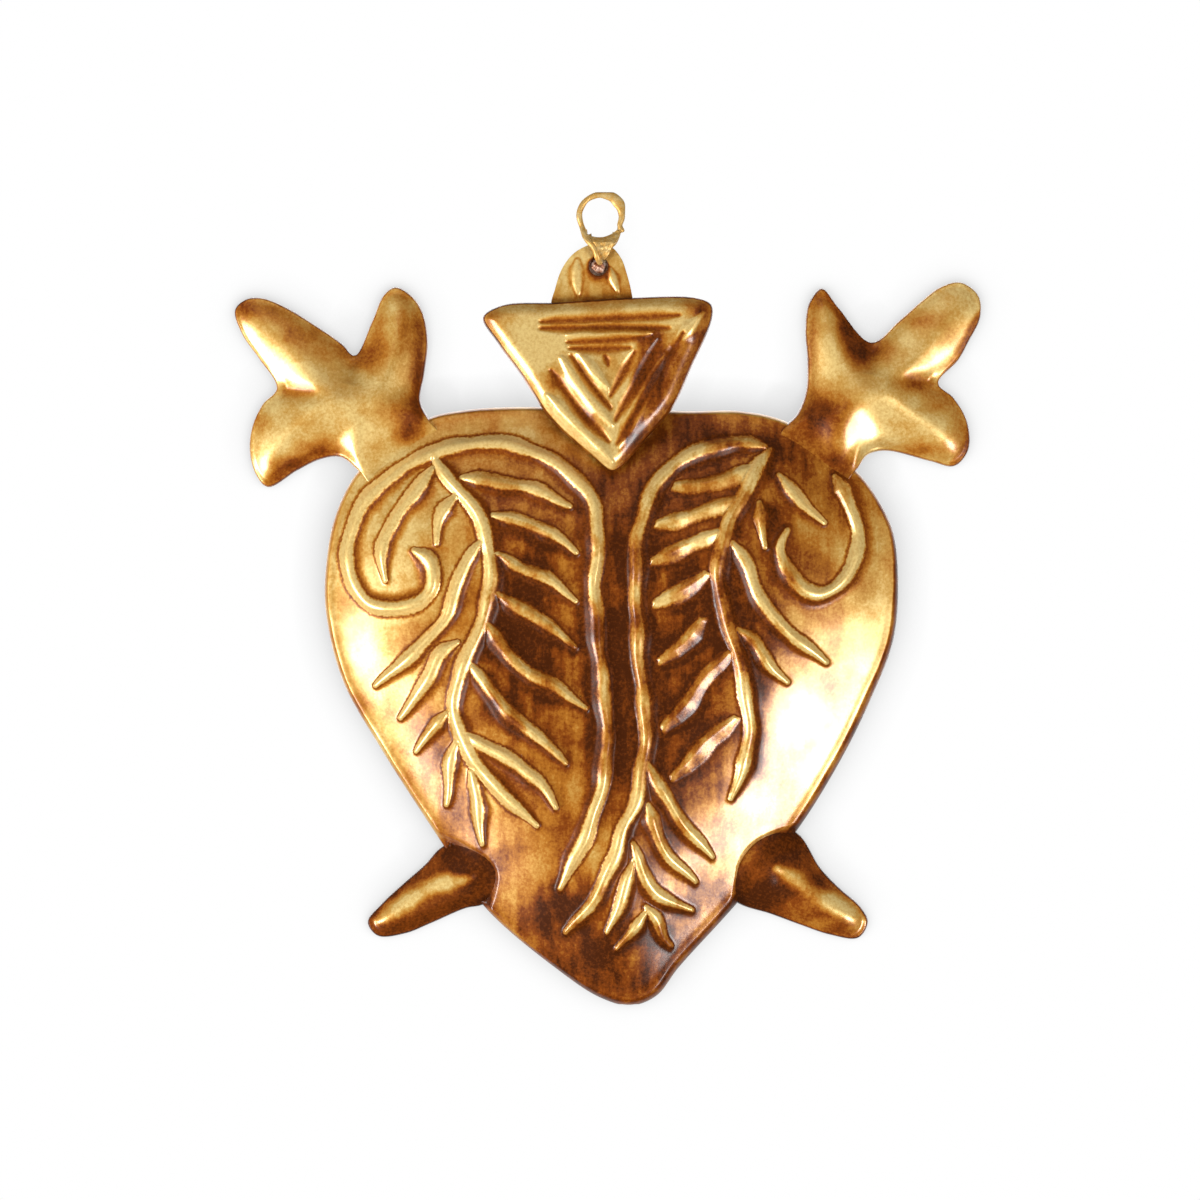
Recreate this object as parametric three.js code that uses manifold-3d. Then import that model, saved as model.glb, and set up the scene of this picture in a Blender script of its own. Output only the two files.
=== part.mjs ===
// Sacred heart milagro: a pressed tin heart with two arrow tails, two arrow points, a triangle plaque
// and a wire ring. Millimetres. X is right, Z is up and the front faces -Y.
// The origin is where a hook bears inside the top of the ring.
// Outlines are lists of [x, z]. Heights are measured forwards from the plane of the back edge.
import * as THREE from 'three';
import Module from 'manifold-3d';

const wasm = await Module();
wasm.setup();

// Sheet and joints
const SHEET = 0.5;
const FIT = 0.3;
const TAB_SHEET = 0.6;
const PLAQUE_FOOT = 8.2;
const TAB_FRONT = PLAQUE_FOOT - FIT;
const RING_PLANE = TAB_FRONT - TAB_SHEET / 2;
const SLOPE_STEP = 0.2;
const STEEPEST = 1.8;

// Heart
const HEART_CENTRE = [1, -94];
const HEART_EDGE = 4;
const HEART_RISE = 8;
const HEART_SHOULDER = 28;
const HEART_FLARE = 1;
const HEART_POINTS = 72;
const HEART_ROWS = [1, 0.93, 0.84, 0.73, 0.6, 0.4, 0.18];
const HEART_OUTLINE = [
  [-34.4, -43.6], [-27, -42], [-18, -41.4], [0, -41.6], [18, -42.2], [28, -42.2], [36.4, -44], [44, -48.6],
  [51.4, -54.4], [55.6, -60], [58.6, -66.6], [59.6, -76], [58.6, -88], [54, -100], [48.4, -111.4],
  [39.4, -126], [27.3, -140.7], [15.6, -153.6], [11.2, -159.2], [6, -161.2], [0, -159.6], [-8, -154.4],
  [-23.2, -141.4], [-32.4, -127.6], [-44, -109.6], [-51.6, -96], [-55, -82], [-54.8, -72], [-53, -63],
  [-48.6, -54.4], [-42, -49],
];

// Raised leaf sprays of the heart
const STEM_WIDTH = 3;
const STEM_RISE = 1.1;
const LEAF_WIDTH = 2.8;
const LEAF_RISE = 1;
const CORD_SINK = 0.35;
const CORD_STEP = 5;
const CORD_FLAT = 0.55;
const CORD_TIP = 0.35;
const LEFT_STEMS = [
  [[-37.2, -70], [-34, -72.4], [-33.2, -77], [-36, -80.4], [-41, -81.8], [-46.4, -80.4], [-49.6, -76.6],
    [-50.4, -71], [-49, -64], [-45.5, -58.6], [-40, -54], [-34, -51], [-28, -49], [-22, -48.6], [-16, -49.4],
    [-10, -52], [-4.6, -56.2], [-1.4, -61], [-0.6, -67], [-1.2, -78], [-0.4, -88], [1, -102], [1.2, -110],
    [0, -118], [-3, -127], [-8.2, -137.4]],
  [[-33, -52], [-28.4, -58], [-24, -63.6], [-22, -71], [-22.2, -80], [-25, -88], [-28.4, -96], [-28.8, -104],
    [-25, -112], [-18, -120], [-12.8, -124.8]],
];
const LEFT_LEAVES = [
  [[-27.4, -55.6], [-20, -56.6], [-13, -58], [-6, -61.4]],
  [[-21.4, -63], [-16, -64.4], [-10, -66.6], [-5, -70.6]],
  [[-20.2, -71], [-16, -73.4], [-10, -76], [-5, -80.2]],
  [[-20.4, -78.6], [-16, -81.6], [-10, -85], [-5.2, -89.4]],
  [[-22.6, -84.6], [-19, -90], [-14, -94.4], [-8, -97.6], [-2.8, -101.6]],
  [[-26, -92.4], [-22, -98], [-17, -103.6], [-11, -108], [-7, -112.4]],
  [[-27.6, -106.4], [-22, -109.6], [-16, -113], [-11, -117.4], [-8.8, -121]],
  [[-33.4, -54], [-37, -58.6], [-41, -64.4], [-43.4, -69], [-42.8, -76]],
  [[-29, -59.4], [-31.4, -62.4], [-32.6, -69]],
  [[-24, -68.6], [-27, -73], [-29, -79], [-31, -84], [-36, -89.4], [-44.8, -97]],
  [[-28.2, -88.4], [-32, -91], [-35, -97], [-40, -103.6]],
  [[-30.6, -102.4], [-33.6, -105.6], [-36.6, -110]],
  [[-28.8, -108.4], [-30, -113], [-30.6, -120.6]],
  [[-25.6, -114], [-24.6, -121], [-23.6, -128.4]],
];
const RIGHT_STEMS = [
  [[32.6, -49.4], [28, -48.6], [23, -49.2], [18, -51], [13.6, -54], [10.4, -58], [8.4, -63], [7, -70],
    [7, -80], [7.6, -93], [9, -106], [8.2, -113], [7, -120], [4.4, -125.6], [2.4, -132], [-2, -140.6],
    [-7, -146]],
  [[33.6, -50], [31, -54], [28.4, -59], [25.6, -64.4], [23.4, -72], [23.6, -79], [26.6, -89], [29, -100],
    [29.4, -109], [26, -119.6]],
  [[46.6, -55.2], [49, -59.4], [51.2, -66], [50.6, -72.4], [47.6, -76.6], [44, -78.6], [40.6, -78],
    [37.6, -75], [35.6, -70], [37.2, -66]],
];
const RIGHT_LEAVES = [
  [[30.4, -53.6], [24, -56], [15.2, -57.2]],
  [[26.6, -60], [19, -62.6], [11.4, -64.6]],
  [[23.2, -66.4], [17, -69], [10.4, -72]],
  [[20.8, -74.6], [16.4, -77.4], [11, -80.6]],
  [[20, -84], [17, -87.6], [12, -91.6]],
  [[25.2, -90.4], [21, -94.4], [17, -100], [12.6, -105]],
  [[26.4, -103.4], [21, -108], [14.4, -115]],
  [[35.6, -55], [39, -59.4], [44.4, -64.8]],
  [[31.4, -60.6], [32, -65], [32.6, -69.6]],
  [[26, -68.6], [29, -73], [31.6, -79.4], [35, -84.4], [40, -88.6], [45, -92.4]],
  [[27.4, -85.6], [30.4, -88], [33.6, -93], [37, -96.4]],
  [[9.4, -112.4], [12.4, -118], [16, -124], [22.4, -131]],
  [[9.2, -120.6], [11, -125.6], [13.6, -131], [18.8, -136]],
  [[6.4, -128.4], [8.4, -134], [12, -139], [18.4, -141.6]],
  [[6.4, -132], [5.4, -136], [3.6, -141], [1.4, -146]],
  [[9, -141], [11, -143.6], [12.4, -147], [14.2, -148.8]],
  [[8.6, -142.4], [6.4, -146], [3.2, -149.2]],
];

// Arrow tails
const TAIL_EDGE = 1.5;
const TAIL_RISE = 6.5;
const TAIL_SHOULDER = 7.5;
const TAIL_FLARE = 0.4;
const TAIL_POINTS = 56;
const TAIL_ROWS = [1, 0.92, 0.76, 0.52, 0.26];
const LEFT_TAIL_CENTRE = [-51, -39];
const LEFT_TAIL_OUTLINE = [
  [-34.4, -43.6], [-36, -40], [-35.2, -34.4], [-34.6, -28], [-35.8, -22], [-38.4, -18.6], [-41.2, -17.4],
  [-43.4, -19], [-45.6, -24], [-49.2, -31], [-51.6, -28.8], [-58, -24.4], [-63, -21.4], [-67.6, -19.6],
  [-71, -19.8], [-73.2, -22], [-71.6, -27], [-68.4, -31.6], [-64.8, -37.6], [-67.6, -40.8], [-69.6, -45],
  [-70.2, -50], [-69, -54.8], [-66.6, -57.4], [-60.6, -54], [-56, -51.8], [-52, -51.4], [-48.6, -54],
  [-45.4, -57.4], [-37.6, -52.6], [-32, -46.8],
];
const RIGHT_TAIL_CENTRE = [54, -38];
const RIGHT_TAIL_OUTLINE = [
  [39.4, -42.6], [41.2, -38], [41.4, -32], [41, -26], [41.8, -20.4], [44.3, -17.6], [47.6, -21.4],
  [54.2, -28.4], [60, -23.9], [64, -20.4], [68, -17.4], [72, -16.4], [75.6, -19], [76, -23.4], [73.6, -28.4],
  [71.6, -32], [67.6, -36.6], [70.6, -39.4], [73.4, -44.4], [73.6, -50], [70.8, -53.2], [66, -52.2],
  [57, -50.1], [53.4, -51], [51.4, -53.8], [48.2, -57.2], [41.6, -52.4], [35.6, -47.2],
];

// Arrow points
const POINT_EDGE = 1.2;
const POINT_RISE = 7;
const POINT_SHOULDER = 7;
const POINT_FLARE = 0.4;
const POINT_POINTS = 36;
const POINT_ROWS = [1, 0.88, 0.64, 0.32];
const LEFT_POINT_CENTRE = [-29, -136];
const LEFT_POINT_OUTLINE = [
  [-31.8, -129.4], [-35, -132.8], [-40, -137.2], [-44, -141], [-46.6, -144.4], [-44.6, -147.2], [-39, -146.7],
  [-34, -144.7], [-27, -141.7], [-23.6, -141], [-17.4, -137.4], [-18, -131.4], [-24.4, -126.6],
];
const RIGHT_POINT_CENTRE = [35, -135.4];
const RIGHT_POINT_OUTLINE = [
  [39.4, -126.6], [44, -133.6], [48, -137.8], [52, -141.4], [53.5, -144.4], [51.6, -147.6], [46, -147],
  [40, -145], [34, -142.8], [27.4, -140.6], [22.6, -136], [25, -129], [32.6, -124.4],
];

// Triangle plaque
const PLAQUE_CENTRE = [1, -31];
const PLAQUE_FACE = 11.2;
const PLAQUE_LEAN = 0.05;
const PLAQUE_EDGE = 1.6;
const PLAQUE_SHOULDER = 2.6;
const PLAQUE_FLARE = 0.5;
const PLAQUE_POINTS = 42;
const PLAQUE_ROWS = [1, 0.9, 0.5];
const PLAQUE_TOP = -20;
const PLAQUE_FOOT_LOW = 4.4;
const PLAQUE_FOOT_END = -41;
const PLAQUE_OUTLINE = [
  [-23.4, -23.8], [-19.6, -21.4], [-8, -20.8], [6, -19.9], [18.8, -19.9], [22, -21.2], [22.2, -24], [18, -34],
  [14.6, -41.4], [8.6, -48.6], [4.4, -53.6], [2.2, -54.6], [-2, -51.4], [-10, -44], [-16, -35], [-20.4, -29],
];
const PLAQUE_BAND_WIDTH = 2.6;
const PLAQUE_BAND_RISE = 0.9;
const PLAQUE_BAND_STEP = 12;
const PLAQUE_BAND_FLAT = 0.5;
const PLAQUE_BANDS = [
  [[-18.6, -23.6], [18.6, -22.4], [2.6, -51]],
  [[-6.8, -27.6], [10.2, -26.8], [2.4, -44]],
];
const PLAQUE_MIDDLE = [[-4.6, -30.6], [5.8, -30.2], [2.2, -38.2]];
const PLAQUE_MIDDLE_FLAT = 0.6;

// Hanger tab
const TAB_HOLE = [-0.4, -13.6];
const TAB_HOLE_RADIUS = 1.9;
const TAB_HOLE_STEPS = 8;
const TAB_POINTS = 36;
const TAB_OUTLINE = [
  [-9.8, -22], [-9, -18], [-7.6, -14], [-5, -10.8], [-1, -9.1], [2.2, -9.8], [4.2, -12.2], [5.2, -15],
  [6.2, -19], [6.6, -23], [4, -27.6], [-6, -27.6],
];
const TAB_CORDS = [
  [[-4.6, -12.6], [-4.8, -16], [-4.4, -19]],
  [[1.9, -14.4], [2.6, -16.4], [3.4, -18.4]],
];
const TAB_CORD_WIDTH = 1.5;
const TAB_CORD_RISE = 0.4;
const TAB_CORD_STEP = 1.5;

// Wire ring
const WIRE_RADIUS = 0.58;
const EYE_RADIUS = 3.65;
const LINK_HEIGHT = -12.6;
const LEG_SPREAD = 2;
const HOOP_FROM = -30;
const HOOP_TURN = 30;
const HOOP_COUNT = 9;
const BACK_LEG = [[0.7, 0.8 * LEG_SPREAD, 0.7], [1.6, LEG_SPREAD, 2.6], [3, 0.6 * LEG_SPREAD, 4.4]];
const FRONT_LEG = [[-2.8, -0.6 * LEG_SPREAD, 4.4], [-1.3, -LEG_SPREAD, 2.6], [-0.5, -0.8 * LEG_SPREAD, 0.7]];
const RING_STEPS = 48;
const WIRE_SIDES = 7;

// Solder
const BEAD_RADIUS = 1;
const BEAD_TIP = 0.45;
const BEAD_SIDES = 6;
const BEAD_HEIGHT = 1.7;
const BEAD_STEP = 2.5;
const RIM_STEP = 0.5;
const LEFT_TAIL_JOINT = [[-39, -46.2], [-46, -51.4]];
const RIGHT_TAIL_JOINT = [[48.6, -51.4], [41.6, -46.4]];
const LEFT_POINT_JOINT = [[-30, -132.4], [-27.2, -136.6]];
const RIGHT_POINT_JOINT = [[31.6, -136.4], [37.4, -129.4]];
const PLAQUE_JOINT = [[-9, -42.5], [1, -42.5], [11.6, -42.5]];
const RING_SOLDER_RADIUS = 0.6;
const RING_SOLDER = [[-1.7, -0.6, 4.7], [0, -0.1, 4.9], [1.9, 0.6, 4.7]];
const TAB_SOLDER_PLACE = [-1, -24.6];
const TAB_SOLDER_RADIUS = 2.6;
const TAB_SOLDER_BROW = 0.8;
const TAB_SOLDER_SHOULDER = 0.6;
const TAB_SOLDER_SIDES = 12;

const GOLD = 0xb98a3c;
const BROWN = 0x7a4a1e;
const PALE = 0xc9a25a;
const TIN = 0x9a938a;

const place = (x, height, z) => new THREE.Vector3(x, RING_PLANE - height, z);

// A surface put together from rows of points
class Skin {
  constructor() {
    this.points = [];
    this.faces = [];
  }

  row(points) {
    const start = this.points.length;
    this.points.push(...points);
    return { start, count: points.length };
  }

  strip(a, b) {
    for (let i = 0; i < a.count; i++) {
      const j = (i + 1) % a.count;
      this.faces.push([a.start + i, a.start + j, b.start + i]);
      this.faces.push([a.start + j, b.start + j, b.start + i]);
    }
  }

  fan(row, tip, turned) {
    const apex = this.row([tip]).start;
    for (let i = 0; i < row.count; i++) {
      const j = (i + 1) % row.count;
      this.faces.push(turned ? [row.start + j, row.start + i, apex] : [row.start + i, row.start + j, apex]);
    }
  }

  volume() {
    const corner = new THREE.Vector3();
    let sum = 0;
    for (const [a, b, c] of this.faces) {
      sum += corner.crossVectors(this.points[b], this.points[c]).dot(this.points[a]);
    }
    return sum / 6;
  }

  solid() {
    const outward = this.volume() > 0;
    const faces = outward ? this.faces : this.faces.map(([a, b, c]) => [a, c, b]);
    const vertProperties = new Float32Array(this.points.flatMap((p) => [p.x, p.y, p.z]));
    const triVerts = new Uint32Array(faces.flat());
    return new wasm.Manifold(new wasm.Mesh({ numProp: 3, vertProperties, triVerts }));
  }
}

const flatCurve = (points, closed) =>
  new THREE.CatmullRomCurve3(points.map(([x, z]) => new THREE.Vector3(x, 0, z)), closed, 'centripetal');

// Evenly spaced points on a smooth closed outline, counter-clockwise from the front
function loop(points, count) {
  const curve = flatCurve(points, true);
  const spaced = curve.getSpacedPoints(count).slice(0, count).map((p) => new THREE.Vector2(p.x, p.z));
  return THREE.ShapeUtils.area(spaced) > 0 ? spaced : spaced.reverse();
}

function inset(outline, distance) {
  return outline.map((p, i) => {
    const before = outline[(i + outline.length - 1) % outline.length];
    const after = outline[(i + 1) % outline.length];
    const along = after.clone().sub(before).normalize();
    return new THREE.Vector2(p.x - along.y * distance, p.y + along.x * distance);
  });
}

function edgeDistance(outline, x, z) {
  let least = Infinity;
  for (let i = 0; i < outline.length; i++) {
    const a = outline[i];
    const b = outline[(i + 1) % outline.length];
    const dx = b.x - a.x;
    const dz = b.y - a.y;
    const t = Math.min(1, Math.max(0, ((x - a.x) * dx + (z - a.y) * dz) / (dx * dx + dz * dz)));
    least = Math.min(least, Math.hypot(x - a.x - t * dx, z - a.y - t * dz));
  }
  return least;
}

const swell = (distance, shoulder) => 1 - (1 - Math.min(distance / shoulder, 1)) ** 2;

function steepness(height, x, z) {
  const acrossX = (height(x + SLOPE_STEP, z) - height(x - SLOPE_STEP, z)) / (2 * SLOPE_STEP);
  const acrossZ = (height(x, z + SLOPE_STEP) - height(x, z - SLOPE_STEP)) / (2 * SLOPE_STEP);
  return Math.min(Math.hypot(1, acrossX, acrossZ), STEEPEST);
}

const scaled = (outline, [cx, cz], s) =>
  outline.map((p) => new THREE.Vector2(cx + s * (p.x - cx), cz + s * (p.y - cz)));

// An open-backed pressing: rim, front and the inside one sheet behind it
function pressing({ outline, centre, flare, rows, height, foot }) {
  const skin = new Skin();
  const wall = (points) => skin.row(points.map((p) => place(p.x, foot(p.x, p.y), p.y)));
  const front = (x, z) => place(x, height(x, z), z);
  const inside = (x, z) => place(x, height(x, z) - SHEET * steepness(height, x, z), z);
  const outerRim = wall(outline);
  const innerRim = wall(inset(outline, SHEET));
  const cover = (rim, shoulder, surface, turned) => {
    let last = rim;
    for (const s of rows) {
      const next = skin.row(scaled(shoulder, centre, s).map((p) => surface(p.x, p.y)));
      if (turned) {
        skin.strip(next, last);
      } else {
        skin.strip(last, next);
      }
      last = next;
    }
    skin.fan(last, surface(...centre), turned);
  };
  cover(outerRim, inset(outline, flare), front, false);
  cover(innerRim, inset(outline, flare + SHEET), inside, true);
  skin.strip(innerRim, outerRim);
  return skin.solid();
}

// A raised cord with tapered ends, laid on a surface
function cord(points, width, rise, step, surface) {
  const curve = flatCurve(points, false);
  const count = Math.max(4, Math.round(curve.getLength() / step));
  const skin = new Skin();
  const sections = [];
  for (let i = 0; i <= count; i++) {
    const t = i / count;
    const p = curve.getPointAt(t);
    const along = curve.getTangentAt(t);
    const taper = CORD_TIP + (1 - CORD_TIP) * Math.min(1, 3 * Math.min(t * 2, 1 - t));
    const half = (width * taper) / 2;
    const top = surface(p.x, p.z) + rise * taper;
    const side = (share) => [p.x - along.z * half * share, p.z + along.x * half * share];
    const base = (share) => {
      const [x, z] = side(share);
      return place(x, surface(x, z) - CORD_SINK, z);
    };
    const crest = (share) => {
      const [x, z] = side(share);
      return place(x, top, z);
    };
    sections.push(skin.row([base(-1), crest(-CORD_FLAT), crest(CORD_FLAT), base(1)]));
  }
  for (let i = 0; i + 1 < sections.length; i++) {
    skin.strip(sections[i], sections[i + 1]);
  }
  const [a, b] = [sections[0].start, sections[count].start];
  skin.faces.push([a, a + 2, a + 1], [a, a + 3, a + 2], [b, b + 1, b + 2], [b, b + 2, b + 3]);
  return skin.solid();
}

// A round bead of solder with tapered ends along a path of points
function bead(path, radius) {
  const curve = new THREE.CatmullRomCurve3(path);
  const count = Math.max(4, Math.round(curve.getLength() / BEAD_STEP));
  const skin = new Skin();
  const frames = curve.computeFrenetFrames(count, false);
  const rings = [];
  for (let i = 0; i <= count; i++) {
    const t = i / count;
    const size = radius * (BEAD_TIP + (1 - BEAD_TIP) * Math.min(1, 4 * Math.min(t, 1 - t)));
    const centre = curve.getPointAt(t);
    const ring = [];
    for (let k = 0; k < BEAD_SIDES; k++) {
      const turn = (k / BEAD_SIDES) * 2 * Math.PI;
      ring.push(centre.clone()
        .addScaledVector(frames.normals[i], size * Math.cos(turn))
        .addScaledVector(frames.binormals[i], size * Math.sin(turn)));
    }
    rings.push(skin.row(ring));
  }
  for (let i = 0; i < count; i++) {
    skin.strip(rings[i], rings[i + 1]);
  }
  skin.fan(rings[0], curve.getPointAt(0), true);
  skin.fan(rings[count], curve.getPointAt(1), false);
  return skin.solid();
}

// Heart
const heartLoop = loop(HEART_OUTLINE, HEART_POINTS);
const heartShoulder = inset(heartLoop, HEART_FLARE);
const heartHeight = (x, z) =>
  HEART_EDGE + HEART_RISE * swell(edgeDistance(heartShoulder, x, z), HEART_SHOULDER);

let heart = pressing({
  outline: heartLoop,
  centre: HEART_CENTRE,
  flare: HEART_FLARE,
  rows: HEART_ROWS,
  height: heartHeight,
  foot: () => 0,
});
for (const stem of [...LEFT_STEMS, ...RIGHT_STEMS]) {
  heart = heart.add(cord(stem, STEM_WIDTH, STEM_RISE, CORD_STEP, heartHeight));
}
for (const leaf of [...LEFT_LEAVES, ...RIGHT_LEAVES]) {
  heart = heart.add(cord(leaf, LEAF_WIDTH, LEAF_RISE, CORD_STEP, heartHeight));
}

// The heart filled in and grown by the joint gap, to which the other pressings are scribed
function scribe() {
  const skin = new Skin();
  const grown = inset(heartLoop, -FIT);
  const rim = skin.row(grown.map((p) => place(p.x, -HEART_EDGE, p.y)));
  const lip = skin.row(grown.map((p) => place(p.x, 0, p.y)));
  skin.strip(rim, lip);
  let last = lip;
  const shoulder = inset(heartLoop, HEART_FLARE - FIT);
  const cover = (x, z) => place(x, heartHeight(x, z) + FIT * steepness(heartHeight, x, z), z);
  for (const s of HEART_ROWS) {
    const next = skin.row(scaled(shoulder, HEART_CENTRE, s).map((p) => cover(p.x, p.y)));
    skin.strip(last, next);
    last = next;
  }
  skin.fan(last, cover(...HEART_CENTRE), false);
  skin.fan(rim, place(HEART_CENTRE[0], -HEART_EDGE, HEART_CENTRE[1]), true);
  return skin.solid();
}
const heartBlock = scribe();

// Arrow tails and points
function finial(points, count, centre, edge, rise, shoulder, flare, rows) {
  const outline = loop(points, count);
  const brow = inset(outline, flare);
  const height = (x, z) => edge + rise * swell(edgeDistance(brow, x, z), shoulder);
  return pressing({ outline, centre, flare, rows, height, foot: () => 0 }).subtract(heartBlock);
}

const tail = (points, centre) =>
  finial(points, TAIL_POINTS, centre, TAIL_EDGE, TAIL_RISE, TAIL_SHOULDER, TAIL_FLARE, TAIL_ROWS);
const arrowPoint = (points, centre) =>
  finial(points, POINT_POINTS, centre, POINT_EDGE, POINT_RISE, POINT_SHOULDER, POINT_FLARE, POINT_ROWS);
const leftTail = tail(LEFT_TAIL_OUTLINE, LEFT_TAIL_CENTRE);
const rightTail = tail(RIGHT_TAIL_OUTLINE, RIGHT_TAIL_CENTRE);
const leftPoint = arrowPoint(LEFT_POINT_OUTLINE, LEFT_POINT_CENTRE);
const rightPoint = arrowPoint(RIGHT_POINT_OUTLINE, RIGHT_POINT_CENTRE);

// Triangle plaque, leaning on the dome of the heart
const plaqueLoop = loop(PLAQUE_OUTLINE, PLAQUE_POINTS);
const plaqueBrow = inset(plaqueLoop, PLAQUE_FLARE);
const plaqueHeight = (x, z) =>
  PLAQUE_FACE + PLAQUE_LEAN * (PLAQUE_TOP - z) - PLAQUE_EDGE
  + PLAQUE_EDGE * swell(edgeDistance(plaqueBrow, x, z), PLAQUE_SHOULDER);
const plaqueFoot = (x, z) => {
  const fall = Math.min(1, Math.max(0, (PLAQUE_TOP - z) / (PLAQUE_TOP - PLAQUE_FOOT_END)));
  return PLAQUE_FOOT + (PLAQUE_FOOT_LOW - PLAQUE_FOOT) * fall;
};
let plaque = pressing({
  outline: plaqueLoop,
  centre: PLAQUE_CENTRE,
  flare: PLAQUE_FLARE,
  rows: PLAQUE_ROWS,
  height: plaqueHeight,
  foot: plaqueFoot,
});

// A raised straight-sided triangle of cord, mitred at its corners
function triangleBand(corners, width, rise, surface) {
  const centre = [0, 1].map((k) => (corners[0][k] + corners[1][k] + corners[2][k]) / 3);
  const sides = [];
  for (let i = 0; i < 3; i++) {
    const [ax, az] = corners[i];
    const [bx, bz] = corners[(i + 1) % 3];
    const count = Math.max(1, Math.round(Math.hypot(bx - ax, bz - az) / PLAQUE_BAND_STEP));
    for (let k = 0; k < count; k++) {
      sides.push([ax + ((bx - ax) * k) / count, az + ((bz - az) * k) / count]);
    }
  }
  const reach = corners.reduce((sum, [x, z]) => sum + Math.hypot(x - centre[0], z - centre[1]), 0) / 3;
  const skin = new Skin();
  const row = (offset, lift) => skin.row(sides.map(([x, z]) => {
    const s = 1 + offset / reach;
    const px = centre[0] + s * (x - centre[0]);
    const pz = centre[1] + s * (z - centre[1]);
    return place(px, surface(px, pz) + lift, pz);
  }));
  const outer = row(width, -CORD_SINK);
  const outerCrest = row(width * PLAQUE_BAND_FLAT, rise);
  const innerCrest = row(-width * PLAQUE_BAND_FLAT, rise);
  const inner = row(-width, -CORD_SINK);
  skin.strip(outer, outerCrest);
  skin.strip(outerCrest, innerCrest);
  skin.strip(innerCrest, inner);
  skin.strip(inner, outer);
  return skin.solid();
}
for (const band of PLAQUE_BANDS) {
  plaque = plaque.add(triangleBand(band, PLAQUE_BAND_WIDTH, PLAQUE_BAND_RISE, plaqueHeight));
}

// The raised triangle in the middle of the bands
function middleTriangle(corners, rise, surface) {
  const skin = new Skin();
  const centre = [0, 1].map((k) => corners.reduce((sum, corner) => sum + corner[k], 0) / 3);
  const drawnIn = (v, k) => centre[k] + PLAQUE_MIDDLE_FLAT * (v - centre[k]);
  const brow = corners.map((corner) => corner.map(drawnIn));
  const bottom = skin.row(corners.map(([x, z]) => place(x, surface(x, z) - CORD_SINK, z)));
  const top = skin.row(brow.map(([x, z]) => place(x, surface(x, z) + rise, z)));
  skin.strip(bottom, top);
  skin.faces.push([top.start, top.start + 1, top.start + 2]);
  skin.faces.push([bottom.start, bottom.start + 2, bottom.start + 1]);
  return skin.solid();
}
plaque = plaque.add(middleTriangle(PLAQUE_MIDDLE, PLAQUE_BAND_RISE, plaqueHeight)).subtract(heartBlock);

// Hanger tab: a flat pierced tongue tucked behind the plaque's top rim
const tabLoop = loop(TAB_OUTLINE, TAB_POINTS);
const tabShape = new THREE.Shape(tabLoop);
const hole = new THREE.Path();
hole.absarc(...TAB_HOLE, TAB_HOLE_RADIUS, 0, 2 * Math.PI, true);
tabShape.holes.push(hole);
const tabGeometry = new THREE.ExtrudeGeometry(
  tabShape, { depth: TAB_SHEET, bevelEnabled: false, curveSegments: TAB_HOLE_STEPS });
tabGeometry.rotateX(Math.PI / 2);
tabGeometry.translate(0, RING_PLANE - TAB_FRONT + TAB_SHEET, 0);

function solidOf(geometry) {
  const skin = new Skin();
  const spot = new Map();
  const position = geometry.getAttribute('position');
  const corners = geometry.index ? [...geometry.index.array] : [...Array(position.count).keys()];
  const numbers = corners.map((corner) => {
    const p = new THREE.Vector3().fromBufferAttribute(position, corner);
    const key = [p.x, p.y, p.z].map((v) => Math.round(v * 1e4)).join();
    if (!spot.has(key)) {
      spot.set(key, skin.row([p]).start);
    }
    return spot.get(key);
  });
  for (let i = 0; i < numbers.length; i += 3) {
    skin.faces.push(numbers.slice(i, i + 3));
  }
  return skin.solid();
}
let tab = solidOf(tabGeometry);
for (const line of TAB_CORDS) {
  tab = tab.add(cord(line, TAB_CORD_WIDTH, TAB_CORD_RISE, TAB_CORD_STEP, () => TAB_FRONT));
}

// Wire ring: one hoop pinched at the foot, one leg in front of the tab and one behind, meeting in the hole
const aboveLink = ([x, y, rise]) => new THREE.Vector3(x, y, LINK_HEIGHT + rise);
const hoop = (number) => {
  const turn = THREE.MathUtils.degToRad(HOOP_FROM + HOOP_TURN * number);
  const radius = EYE_RADIUS + WIRE_RADIUS;
  return new THREE.Vector3(radius * Math.cos(turn), 0, -EYE_RADIUS + radius * Math.sin(turn));
};
const ringPath = new THREE.CatmullRomCurve3([
  new THREE.Vector3(0, 0, LINK_HEIGHT),
  ...BACK_LEG.map(aboveLink),
  ...Array.from({ length: HOOP_COUNT }, (_, number) => hoop(number)),
  ...FRONT_LEG.map(aboveLink),
], true, 'centripetal');
const ring = solidOf(new THREE.TubeGeometry(ringPath, RING_STEPS, WIRE_RADIUS, WIRE_SIDES, true));

// Solder
const ringSolder = bead(RING_SOLDER.map(aboveLink), RING_SOLDER_RADIUS);

// A bead along the outside of the heart's rim, counter-clockwise between two points near its outline
function rimBead([from, to]) {
  const outside = inset(heartLoop, -(BEAD_RADIUS + FIT)).map((p) => place(p.x, BEAD_HEIGHT, p.y));
  const curve = new THREE.CatmullRomCurve3(outside, true, 'centripetal');
  const steps = Math.round(curve.getLength() / RIM_STEP);
  const spaced = curve.getSpacedPoints(steps).slice(0, steps);
  const nearest = ([x, z]) => {
    const away = spaced.map((p) => Math.hypot(p.x - x, p.z - z));
    return away.indexOf(Math.min(...away));
  };
  const first = nearest(from);
  const count = (nearest(to) - first + steps) % steps;
  return bead(Array.from({ length: count + 1 }, (_, i) => spaced[(first + i) % steps]), BEAD_RADIUS);
}
const leftTailSolder = rimBead(LEFT_TAIL_JOINT);
const rightTailSolder = rimBead(RIGHT_TAIL_JOINT);
const leftPointSolder = rimBead(LEFT_POINT_JOINT);
const rightPointSolder = rimBead(RIGHT_POINT_JOINT);
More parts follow.
